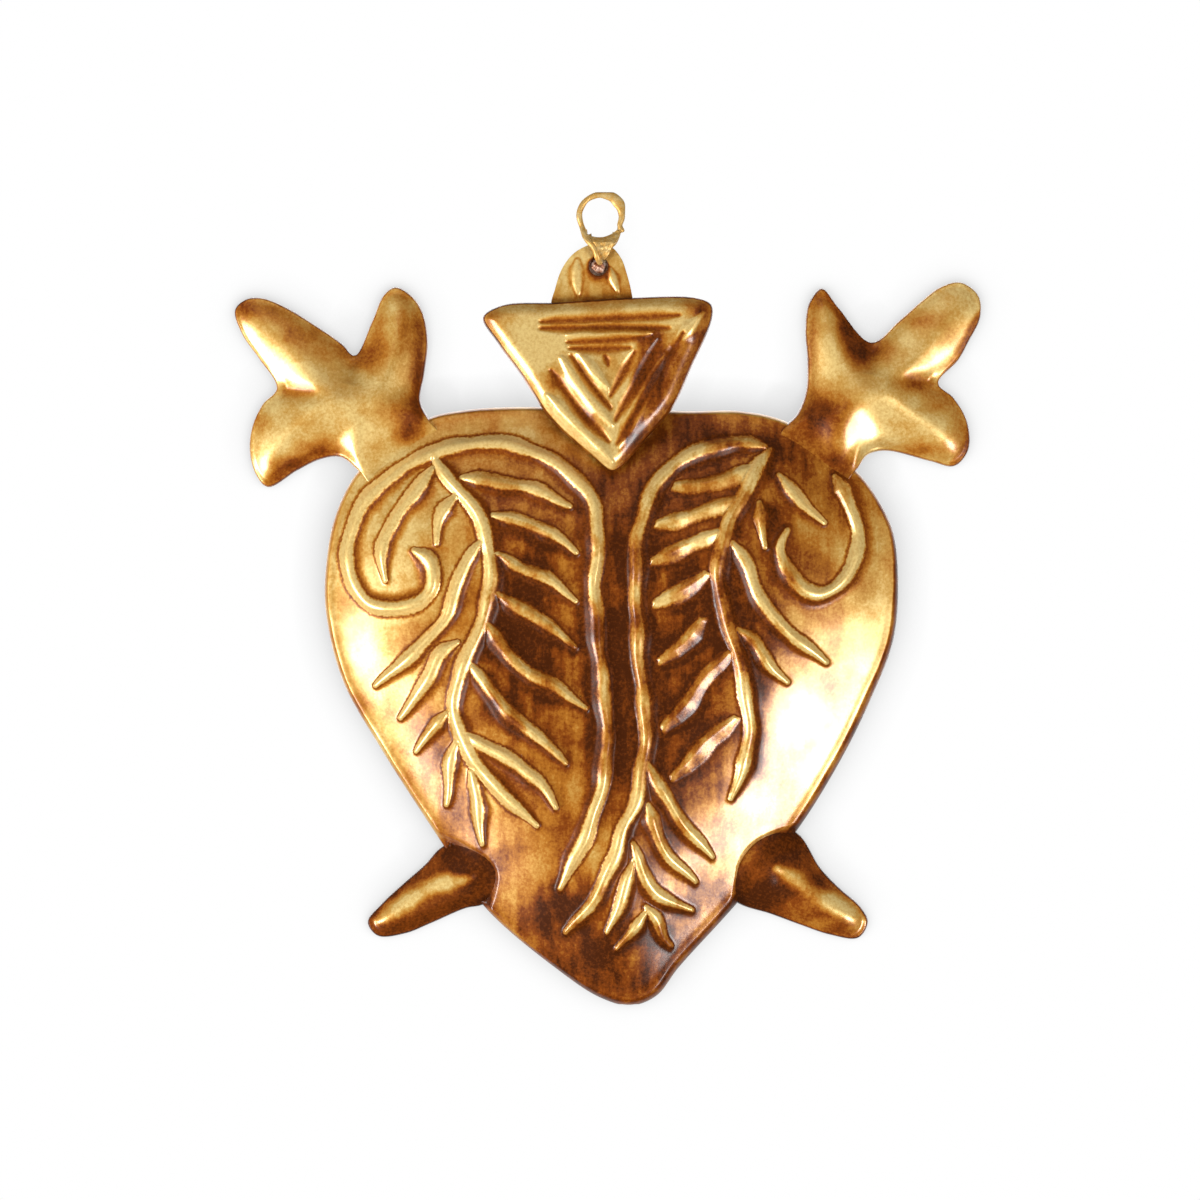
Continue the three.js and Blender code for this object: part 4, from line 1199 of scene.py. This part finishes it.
# %% Ring
RING_SEGMENTS = 220
RING_SIDES = 20
WIRE_SWELL = (0.05, 41, 0)
WIRE_QUIVER = (0.03, 83, 1)
WIRE_LUMPS = 0.04
LAP = (0.41, 0.055)
LAP_SHIFT = 0.25
NUB = (0.255, 0.014)
NUB_SHIFT = 0.6
NUB_GIRTH = 0.35
deselect_everything()
bpy.ops.mesh.primitive_torus_add(major_segments=RING_SEGMENTS, minor_segments=RING_SIDES, major_radius=1,
                                 minor_radius=0.25)
ring = named("ring")
spots = coordinates(ring)
section = np.round(np.arctan2(spots[:, 1], spots[:, 0]) / (2 * math.pi) * RING_SEGMENTS).astype(int)
section = section % RING_SEGMENTS
around = np.arctan2(spots[:, 2], np.hypot(spots[:, 0], spots[:, 1]) - 1)
share = np.arange(RING_SEGMENTS) / RING_SEGMENTS
centres, sides, cross = carry_along(wire_line, share)
lap = bell(share, *LAP)
nub = bell(share, *NUB)
uneven = wave(WIRE_SWELL, share, 1) + wave(WIRE_QUIVER, share, 1)
radius = WIRE_RADIUS * (1 + uneven + NUB_GIRTH * nub)
outwards = centres - np.array([0, 0, -EYE_RADIUS])
outwards[:, 1] = 0
outwards /= np.linalg.norm(outwards, axis=1)[:, None]
centres = centres + (LAP_SHIFT * lap + NUB_SHIFT * nub)[:, None] * outwards
lumps = 1 + WIRE_LUMPS * np.sin(3 * around + 0.4 * section)
offset = (radius[section] * lumps)[:, None] * (
    np.cos(around)[:, None] * sides[section] + np.sin(around)[:, None] * cross[section])
offset[:, [0, 2]] *= (1 + lap)[section][:, None]
spots = centres[section] + offset
put_vertices(ring, spots)
face_outwards(ring)
bpy.ops.object.shade_smooth()
hand_over(ring, "ring", "hanging_ring")

# %% Solder in the V of the ring
WEB_CENTRE = (0.4, -9.6)
WEB_OUTLINE = [
    (-3.3, -6.7), (-2.2, -7.5), (-0.6, -7.9), (0.8, -7.8), (2.2, -7.2), (3.5, -6.4), (3.9, -7), (3.1, -8.6),
    (2.2, -10.2), (1.5, -11.6), (0.7, -12.5), (-0.1, -12), (-0.9, -10.8), (-1.9, -9),
]
WEB_THICKNESS = 0.65
WEB_ROUNDING = 0.3
WEB_DISH = 0.22
WEB_LUMPS = 0.05
WEB_SMALL_LUMPS = 0.04
WEB_CELLS = 36
WEB_FRONT = ((-12.6, 1.4), (-11.9, 2.0), (-10, 2.6), (-9, 2.6), (-8.2, 1.8), (-7, 1.0))
web = flat_grid("ring_web", WEB_CELLS)
web_rim = outline(WEB_OUTLINE, WEB_CENTRE)
x, z = onto_outline(web, web_rim, WEB_CENTRE)
away, _ = nearest(web_rim, x, z)
levels, fronts = np.array(WEB_FRONT).T
rounded = WEB_ROUNDING * (1 - ease(away, 0, 0.7)) + WEB_DISH * ease(away, 0.6, 1.8)
lumps = WEB_LUMPS * ripple(x, z, 4.1, 3) + WEB_SMALL_LUMPS * ripple(x, z, -2, 7.3)
put_vertices(web, np.column_stack([x, rounded - lumps - np.interp(z, levels, fronts), z]))
thicken(web, WEB_THICKNESS)

# %% Lump of solder at the foot of the ring
LUMP_CENTRE = TAB_HOLE
LUMP_FRONT = -0.8
LUMP_DEPTH = 3.0
LUMP_IN_HOLE = 1.36
LUMP_BEHIND = 2.2
LUMP_WIDENS = (0.62, 0.78)
LUMP_SWELL = 0.07
LUMP_QUIVER = 0.05
LUMP_HILLS = 0.18
deselect_everything()
bpy.ops.mesh.primitive_uv_sphere_add(segments=40, ring_count=32, radius=1, rotation=(math.pi / 2, 0, 0))
bpy.ops.object.transform_apply(rotation=True)
foot_lump = bpy.context.object
u, v, w = coordinates(foot_lump).T
turn = np.arctan2(w, u)
reach = np.sqrt(1 - np.minimum(np.abs(v), 1) ** np.where(v > 0, 14, 4))
# Behind the tab the lump widens, so that solder fills the view through the gap round the foot and stands in
# for the shade in the hole.
reach *= LUMP_IN_HOLE + (LUMP_BEHIND - LUMP_IN_HOLE) * ease(v, *LUMP_WIDENS)
reach *= 1 + LUMP_SWELL * ripple(turn, v, 3, 4) + LUMP_QUIVER * ripple(turn, v, 7, -5)
hilly = LUMP_HILLS * np.sin(4 * reach * np.cos(turn) + 1) * np.sin(5 * reach * np.sin(turn))
depth = LUMP_FRONT + LUMP_DEPTH * (v + 1) / 2 + hilly * (1 - ease(v, -0.6, 0.2))
put_vertices(foot_lump, np.column_stack([LUMP_CENTRE[0] + reach * np.cos(turn), depth,
                                         LUMP_CENTRE[1] + reach * np.sin(turn)]))
bpy.ops.object.shade_smooth()
join_as_second(web, foot_lump)
hand_over(web, "ring", "ring_solder")

# %% [markdown]
# ## Solder behind the joints
# Soft solder runs into a joint and freezes as a lumpy bead. Each bead follows its CAD solid: a sphere is
# stretched along the solid's own length and given a few lumps.


# %% Solder beads
BEAD_GIRTH = 0.92
BEAD_SWELL = (0.12, 5, 1)
BEAD_QUIVER = (0.08, 11, 0)


def solder_bead(node):
    solid = np.array([vertex.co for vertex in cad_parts[node].data.vertices]) / MM
    middle = solid.mean(axis=0)
    _, _, axes = np.linalg.svd(solid - middle, full_matrices=False)
    run = (solid - middle) @ axes.T
    reach = np.abs(run).max(axis=0)
    deselect_everything()
    bpy.ops.mesh.primitive_uv_sphere_add(segments=32, ring_count=24, radius=1)
    lump = named(node + "_lump")
    u, v, w = coordinates(lump).T
    bow = np.polyfit(run[:, 0], run[:, 1], 2)
    length = reach[0] * w
    girth = (1 + wave(BEAD_SWELL, w, len(node)) + wave(BEAD_QUIVER, w, 0)) * BEAD_GIRTH
    spots = np.column_stack([length, np.polyval(bow, length) + girth * u, girth * v])
    put_vertices(lump, middle + spots @ axes)
    face_outwards(lump)
    bpy.ops.object.shade_smooth()
    hand_over(lump, "ornament", node)
    return lump


beads = [
    solder_bead(node)
    for node in ("solder_left_fletching", "solder_right_fletching", "solder_left_point", "solder_right_point",
                 "solder_plaque")
]
print("solder beads:", [lump.name for lump in beads])

# %% [markdown]
# ## Finishes
# The maker paints the tin brown and rubs gold paste over it, so gold stays on whatever stands proud and
# brown stays in the hollows. One node group mixes that patina from the masks on the mesh, some of which
# also carry painted shade, with brush streaks that run up and down, a broad mottle and a fine metallic
# grain. A second one turns the distance from a rib into rubbed tops and brown flanks on the heart, with
# painted shade that widens the brown on each rib's shaded side. Each material places the groups that it
# needs and keeps its own shader.


# %% Node helpers
NOISE_RANGE = (0.3, 0.7)


def compute(tree, operation, first, second=0.0, clamp=False):
    made = tree.nodes.new("ShaderNodeMath")
    made.operation = operation
    made.use_clamp = clamp
    for socket, value in zip(made.inputs, (first, second)):
        if isinstance(value, bpy.types.NodeSocket):
            tree.links.new(value, socket)
        else:
            socket.default_value = value
    return made.outputs[0]


def noise(tree, place, scale, detail, roughness=0.5):
    made = tree.nodes.new("ShaderNodeTexNoise")
    made.inputs["Scale"].default_value = scale
    made.inputs["Detail"].default_value = detail
    made.inputs["Roughness"].default_value = roughness
    tree.links.new(place, made.inputs["Vector"])
    return made.outputs["Fac"]


def stretched(tree, place, scale):
    made = tree.nodes.new("ShaderNodeMapping")
    made.inputs["Scale"].default_value = scale
    tree.links.new(place, made.inputs["Vector"])
    return made.outputs["Vector"]


def spread(tree, value, low, high, to_low, to_high):
    made = tree.nodes.new("ShaderNodeMapRange")
    tree.links.new(value, made.inputs["Value"])
    for name, number in (("From Min", low), ("From Max", high), ("To Min", to_low), ("To Max", to_high)):
        made.inputs[name].default_value = number
    return made.outputs["Result"]


def object_place(tree):
    return tree.nodes.new("ShaderNodeTexCoord").outputs["Object"]


def mix_of(tree, first, first_share, second, second_share):
    return compute(tree, "ADD", compute(tree, "MULTIPLY", first, first_share),
                   compute(tree, "MULTIPLY", second, second_share))


def new_group(name, given, put):
    """A node group with its own input and output sockets, all of them numbers except the colour."""
    group = bpy.data.node_groups.new(name, "ShaderNodeTree")
    for names, way in ((given, "INPUT"), (put, "OUTPUT")):
        for socket in names:
            kind = "NodeSocketColor" if socket == "Color" else "NodeSocketFloat"
            group.interface.new_socket(name=socket, in_out=way, socket_type=kind)
    return group, group.nodes.new("NodeGroupInput").outputs, group.nodes.new("NodeGroupOutput").inputs


def over_noise(tree, value, to_low, to_high):
    """Spread a noise, most of which lies near its middle, over a new range."""
    return spread(tree, value, *NOISE_RANGE, to_low, to_high)


def ramp(tree, value, stops):
    made = tree.nodes.new("ShaderNodeValToRGB")
    band = made.color_ramp
    while len(band.elements) < len(stops):
        band.elements.new(0.5)
    for element, (position, colour) in zip(band.elements, stops):
        element.position = position
        element.color = (*colour, 1)
    tree.links.new(value, made.inputs["Fac"])
    return made.outputs["Color"]


# %% Patina group
DEEP_BROWN = (0.052, 0.011, 0.001)
RED_BROWN = (0.19, 0.041, 0.0026)
AMBER = (0.43, 0.155, 0.015)
GOLD = (0.64, 0.35, 0.075)
PALE_GOLD = (0.86, 0.62, 0.23)
LEFT_IN_HOLLOW_AND_SHADE = 0.08
MOST_GOLD = 0.94
MOST_METAL = 0.36
STREAK_STRETCH = (480, 300, 60)
MOTTLE_SCALE = 110
MOTTLE_AMOUNT = 1.3
GRAIN_SCALE = 1700
GRAIN_AMOUNT = 0.13
FRAY_SCALE = 1600
FRAY_AMOUNT = 0.035


def patina_group():
    """Gold over brown: more gold on crests, less in hollows, in painted shade and under the wash."""
    group, given, put = new_group("gold_rubbed_over_brown", ("Crest", "HollowAndShade", "Wash", "Streaks"),
                                  ("Color", "Metallic", "Roughness", "Height"))
    place = object_place(group)
    streak = noise(group, stretched(group, place, STREAK_STRETCH), 1, 3, 0.55)
    mottle = noise(group, place, MOTTLE_SCALE, 4, 0.55)
    grain = noise(group, place, GRAIN_SCALE, 4, 0.7)
    brushed = compute(group, "MULTIPLY", compute(group, "SUBTRACT", streak, 0.5), given["Streaks"])
    brushed = compute(group, "MULTIPLY", brushed, spread(group, given["Wash"], 0.2, 0.7, 0.25, 1.2))
    cloudy = compute(group, "MULTIPLY", compute(group, "SUBTRACT", mottle, 0.5), MOTTLE_AMOUNT)
    gold = compute(group, "SUBTRACT", 1.0, given["Wash"])
    gold = compute(group, "ADD", gold, brushed)
    gold = compute(group, "ADD", gold, cloudy)
    rubbed = compute(group, "MULTIPLY", given["Crest"], spread(group, mottle, 0.35, 0.6, 0.5, 1.0))
    gold = compute(group, "ADD", gold, rubbed, clamp=True)
    gold = compute(group, "MINIMUM", gold, MOST_GOLD)
    lost = compute(group, "MULTIPLY", given["HollowAndShade"], compute(group, "SUBTRACT", gold, LEFT_IN_HOLLOW_AND_SHADE))
    gold = compute(group, "SUBTRACT", gold, lost)
    speckle = over_noise(group, grain, -GRAIN_AMOUNT, GRAIN_AMOUNT)
    gold = compute(group, "ADD", gold, speckle, clamp=True)
    colours = (DEEP_BROWN, RED_BROWN, AMBER, GOLD, PALE_GOLD)
    group.links.new(ramp(group, gold, list(zip((0.0, 0.25, 0.5, 0.75, 1.0), colours))), put["Color"])
    group.links.new(spread(group, gold, 0.2, 0.8, 0.0, MOST_METAL), put["Metallic"])
    rough = spread(group, gold, 0.0, 1.0, 0.34, 0.38)
    rough = compute(group, "ADD", rough, over_noise(group, grain, -0.05, 0.07))
    group.links.new(rough, put["Roughness"])
    group.links.new(mix_of(group, grain, 0.5, streak, 0.35), put["Height"])
    return group


def rib_group():
    """Where a rib's top is rubbed, where its flanks keep brown, and painted shade on its shaded side."""
    group, given, put = new_group("rib_tops_and_flanks", ("Rib", "Under"), ("Crest", "HollowAndShade"))
    grain = noise(group, object_place(group), FRAY_SCALE, 4, 0.7)
    fray = over_noise(group, grain, -FRAY_AMOUNT, FRAY_AMOUNT)
    frayed = compute(group, "ADD", given["Rib"], fray)

    def band(stops):
        return ramp(group, frayed, [(across / RIB_FAR, (v, v, v)) for across, v in stops])

    top = band([(0.0, 0.9), (0.6, 0.85), (0.9, 0.35), (1.15, 0)])
    # The lit side keeps a thin brown line; the shaded side gets a broad band of painted shade.
    lit_side = band([(0.92, 0), (1.1, 0.8), (1.25, 0.6), (1.5, 0)])
    shaded_side = band([(0.7, 0), (1.0, 0.85), (1.5, 0.6), (2.4, 0)])
    flank = group.nodes.new("ShaderNodeMix")
    flank.data_type = "RGBA"
    group.links.new(given["Under"], flank.inputs["Factor"])
    group.links.new(lit_side, flank.inputs["A"])
    group.links.new(shaded_side, flank.inputs["B"])
    group.links.new(top, put["Crest"])
    group.links.new(flank.outputs["Result"], put["HollowAndShade"])
    return group


patina = patina_group()
rib_paint = rib_group()
print("node groups:", patina.name, rib_paint.name)


# %% Painted tin
def fresh_material(name):
    material = bpy.data.materials.new(name)
    material.use_nodes = True
    tree = material.node_tree
    tree.nodes.clear()
    shader = tree.nodes.new("ShaderNodeBsdfPrincipled")
    tree.links.new(shader.outputs["BSDF"], tree.nodes.new("ShaderNodeOutputMaterial").inputs["Surface"])
    return material, tree, shader


def bump(tree, shader, height, strength, depth):
    made = tree.nodes.new("ShaderNodeBump")
    made.inputs["Strength"].default_value = strength
    made.inputs["Distance"].default_value = depth * MM
    tree.links.new(height, made.inputs["Height"])
    tree.links.new(made.outputs["Normal"], shader.inputs["Normal"])


def mask(tree, name):
    read = tree.nodes.new("ShaderNodeAttribute")
    read.attribute_name = name
    return read.outputs["Fac"]


VARNISH = (("Coat Roughness", 0.23), ("Coat IOR", 1.65), ("Specular IOR Level", 0.15))


def painted_tin(name, streaks, ribbed=False):
    material, tree, shader = fresh_material(name)
    mixed = tree.nodes.new("ShaderNodeGroup")
    mixed.node_tree = patina
    if ribbed:
        ribs = tree.nodes.new("ShaderNodeGroup")
        ribs.node_tree = rib_paint
        tree.links.new(mask(tree, "rib"), ribs.inputs["Rib"])
        tree.links.new(mask(tree, "under"), ribs.inputs["Under"])
        crest, hollow = ribs.outputs["Crest"], ribs.outputs["HollowAndShade"]
    else:
        crest, hollow = mask(tree, "crest"), mask(tree, "hollow")
    tree.links.new(crest, mixed.inputs["Crest"])
    tree.links.new(hollow, mixed.inputs["HollowAndShade"])
    tree.links.new(mask(tree, "wash"), mixed.inputs["Wash"])
    mixed.inputs["Streaks"].default_value = streaks
    for given, taken in (("Color", "Base Color"), ("Metallic", "Metallic"), ("Roughness", "Roughness")):
        tree.links.new(mixed.outputs[given], shader.inputs[taken])
    bump(tree, shader, mixed.outputs["Height"], strength=0.35, depth=0.06)
    gloss = compute(tree, "SUBTRACT", 1.0, mask(tree, "edge"))
    gloss = compute(tree, "MULTIPLY", gloss, spread(tree, hollow, 0.0, 0.6, 1.0, 0.0))
    by_gold = spread(tree, mixed.outputs["Metallic"], 0.0, MOST_METAL, 0.35, 0.8)
    gloss = compute(tree, "MULTIPLY", gloss, by_gold)
    tree.links.new(gloss, shader.inputs["Coat Weight"])
    for name, value in VARNISH:
        shader.inputs[name].default_value = value
    return material


def plain_metal(parts, shade, stops, cloud, roughness, metallic):
    """Colour from a shade and roughness from a cloud, over a plain metallic share."""
    material, tree, shader = parts
    tree.links.new(ramp(tree, shade, stops), shader.inputs["Base Color"])
    tree.links.new(over_noise(tree, cloud, *roughness), shader.inputs["Roughness"])
    shader.inputs["Metallic"].default_value = metallic
    return material


TIN_STOPS = [(0.32, (0.16, 0.125, 0.085)), (0.5, (0.36, 0.34, 0.30)), (0.68, (0.52, 0.5, 0.46))]
ROLLING_STRETCH = (60, 60, 900)


def bare_tin():
    parts = fresh_material("bare_tin")
    _, tree, shader = parts
    place = object_place(tree)
    cloud = noise(tree, place, 70, 5, 0.6)
    rolled = noise(tree, stretched(tree, place, ROLLING_STRETCH), 1, 4, 0.6)
    bump(tree, shader, rolled, strength=0.2, depth=0.04)
    shade = mix_of(tree, cloud, 0.7, rolled, 0.3)
    return plain_metal(parts, shade, TIN_STOPS, cloud, roughness=(0.55, 0.36), metallic=0.85)


heart_paint = painted_tin("heart_gold_paint", streaks=0.65, ribbed=True)
arrow_paint = painted_tin("arrow_gold_paint", streaks=0.3)
point_paint = painted_tin("arrow_point_paint", streaks=0.2)
plaque_paint = painted_tin("plaque_gold_paint", streaks=0.8)
tab_paint = painted_tin("tab_gold_paint", streaks=0.5)
tin = bare_tin()
sheets = ((heart, heart_paint), (left_tail, arrow_paint), (right_tail, arrow_paint),
          (left_point, point_paint), (right_point, point_paint), (plaque, plaque_paint), (tab, tab_paint))
for piece, front in sheets:
    piece.data.materials[0] = front
    piece.data.materials[1] = tin
print("painted sheets:", len(sheets))


# %% Wire and solder
WIRE_STOPS = [(0.3, AMBER), (0.42, GOLD), (0.55, (0.66, 0.43, 0.15)), (0.7, (0.8, 0.6, 0.28))]
SOLDER_STOPS = [(0.35, (0.13, 0.11, 0.09)), (0.5, (0.34, 0.33, 0.31)), (0.66, (0.55, 0.54, 0.51))]
COPPERY_STOPS = [(0.38, RED_BROWN), (0.5, (0.52, 0.27, 0.17)), (0.62, (0.8, 0.6, 0.48))]
SOLDER_PITS = 0.15


def painted_wire():
    parts = fresh_material("ring_wire_paint")
    _, tree, shader = parts
    place = object_place(tree)
    speck = noise(tree, place, 1500, 3, 0.6)
    patch = noise(tree, place, 420, 3, 0.6)
    shade = mix_of(tree, speck, 0.55, patch, 0.45)
    bump(tree, shader, shade, strength=0.5, depth=0.08)
    return plain_metal(parts, shade, WIRE_STOPS, speck, roughness=(0.52, 0.4), metallic=0.4)


def frozen_solder(name, scale, stops, roughness, metallic, strength):
    parts = fresh_material(name)
    _, tree, shader = parts
    cloud = noise(tree, object_place(tree), scale, 4, 0.6)
    bump(tree, shader, cloud, strength, SOLDER_PITS)
    return plain_metal(parts, cloud, stops, cloud, roughness, metallic)


wire_paint = painted_wire()
solder = frozen_solder("soft_solder", scale=380, stops=SOLDER_STOPS, roughness=(0.6, 0.3), metallic=0.9,
                       strength=0.5)
coppery = frozen_solder("coppery_solder", scale=900, stops=COPPERY_STOPS, roughness=(0.55, 0.35),
                        metallic=0.5, strength=0.6)
ring.data.materials.append(wire_paint)
web.data.materials[0] = wire_paint
web.data.materials[1] = coppery
for lump in beads:
    lump.data.materials.append(solder)
tab_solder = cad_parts["solder_tab"]
tab_solder.data.materials.clear()
tab_solder.data.materials.append(solder)
print("wire, web and", len(beads) + 1, "solder pieces finished")

# %% [markdown]
# ## White table, two softboxes and the camera
# The ornament lies on a white table that the photograph overexposes, with a softbox low on each side, so
# the middle of the dome stays dark and its flanks shine. The table is a sheet that only shades: it lets the
# white of the world through and darkens it where the ornament stands close by. It is clear from behind, so
# that the back shows too.


# %% World
def white_room():
    world = bpy.data.worlds.new("white_room")
    bpy.context.scene.world = world
    world.use_nodes = True
    tree = world.node_tree
    tree.nodes.clear()
    ground = tree.nodes.new("ShaderNodeBackground")
    ground.inputs["Color"].default_value = (1, 1, 1, 1)
    path = tree.nodes.new("ShaderNodeLightPath").outputs
    towards = tree.nodes.new("ShaderNodeSeparateXYZ")
    tree.links.new(tree.nodes.new("ShaderNodeTexCoord").outputs["Generated"], towards.inputs["Vector"])
    front = spread(tree, towards.outputs["Y"], -1.0, 0.1, 0.03, 0.15)
    level = compute(tree, "ADD", front, spread(tree, towards.outputs["Z"], 0.2, 0.9, 0.0, 0.15))
    behind = spread(tree, towards.outputs["Y"], 0.4, 0.8, 0.0, 0.8)
    at_table = compute(tree, "MULTIPLY", path["Is Glossy Ray"], behind)
    seen = compute(tree, "MAXIMUM", path["Is Camera Ray"], at_table)
    level = compute(tree, "MULTIPLY", level, spread(tree, path["Is Glossy Ray"], 0.0, 1.0, 1.0, 0.3))
    tree.links.new(compute(tree, "MAXIMUM", seen, level), ground.inputs["Strength"])
    tree.links.new(ground.outputs["Background"], tree.nodes.new("ShaderNodeOutputWorld").inputs["Surface"])


white_room()

# %% Table that holds the shadow
SHADOW_REACH = 8
SHADOW_DEPTH = 0.42
SHADOW_LEAN = (0.55, -0.75, -0.3)
TABLE_SIZE = 1.2
TABLE_PLACE = (0, (BACK_PLANE + 0.05) * MM, -0.08)
deselect_everything()
bpy.ops.mesh.primitive_plane_add(size=TABLE_SIZE, location=TABLE_PLACE, rotation=(math.pi / 2, 0, 0))
bpy.ops.object.transform_apply(location=True, rotation=True, scale=True)
table = bpy.context.object
table.name = "white_table"


def shading_table():
    material = bpy.data.materials.new("shaded_white")
    material.use_nodes = True
    tree = material.node_tree
    tree.nodes.clear()
    shade = None
    for side in (-1, 1):
        near = tree.nodes.new("ShaderNodeAmbientOcclusion")
        near.samples = 16
        near.inputs["Distance"].default_value = SHADOW_REACH * MM
        lean = tree.nodes.new("ShaderNodeCombineXYZ")
        for axis, value in zip("XYZ", Vector((side * SHADOW_LEAN[0], *SHADOW_LEAN[1:])).normalized()):
            lean.inputs[axis].default_value = value
        tree.links.new(lean.outputs["Vector"], near.inputs["Normal"])
        seen = near.outputs["AO"]
        shade = seen if shade is None else compute(tree, "MULTIPLY", shade, seen)
    light = spread(tree, shade, 0.0, 0.92, 1 - SHADOW_DEPTH, 1.0)
    path = tree.nodes.new("ShaderNodeLightPath")
    back = tree.nodes.new("ShaderNodeNewGeometry").outputs["Backfacing"]
    in_front = compute(tree, "MULTIPLY", path.outputs["Is Camera Ray"], compute(tree, "SUBTRACT", 1.0, back))
    mixed = tree.nodes.new("ShaderNodeMix")
    mixed.data_type = "FLOAT"
    tree.links.new(in_front, mixed.inputs["Factor"])
    mixed.inputs["A"].default_value = 1.0
    tree.links.new(light, mixed.inputs["B"])
    clear = tree.nodes.new("ShaderNodeBsdfTransparent")
    tree.links.new(mixed.outputs["Result"], clear.inputs["Color"])
    tree.links.new(clear.outputs["BSDF"], tree.nodes.new("ShaderNodeOutputMaterial").inputs["Surface"])
    return material


table.data.materials.append(shading_table())
table.visible_shadow = False
table.visible_diffuse = False
table.visible_glossy = False

# %% Softboxes
AIM = Vector((0, 0, -0.09))
LAMPS = (
    ("left_softbox", (-0.625, -0.315, -0.32), 0.36, 7.0),
    ("right_softbox", (0.475, -0.48, -0.39), 0.27, 4.6),
    ("top_fill", (-0.1, -0.6, 0.42), 0.5, 2.6),
    ("back_fill", (0.0, 0.85, 0.1), 0.6, 3.0),
)
for name, spot, size, power in LAMPS:
    bpy.ops.object.light_add(type="AREA", location=spot)
    lamp = bpy.context.object
    lamp.name = name
    lamp.data.shape = "SQUARE"
    lamp.data.size = size
    lamp.data.energy = power
    lamp.rotation_euler = (Vector(spot) - AIM).to_track_quat("Z", "Y").to_euler()
    lamp.visible_glossy = name != "top_fill"
print("lamps:", [name for name, _, _, _ in LAMPS])

# %% Camera
PICTURE_WIDTH = 0.24
PICTURE_CENTRE = Vector((-0.0001, 0.0065, -0.08))
CAMERA_DISTANCE = 1.2
camera_data = bpy.data.cameras.new("camera")
camera = bpy.data.objects.new("camera", camera_data)
bpy.context.scene.collection.objects.link(camera)
camera_data.lens = camera_data.sensor_width * CAMERA_DISTANCE / PICTURE_WIDTH
camera.location = PICTURE_CENTRE - Vector((0, CAMERA_DISTANCE, 0))
camera.rotation_euler = (math.pi / 2, 0, 0)
bpy.context.scene.camera = camera
bpy.context.scene.view_settings.view_transform = "Standard"
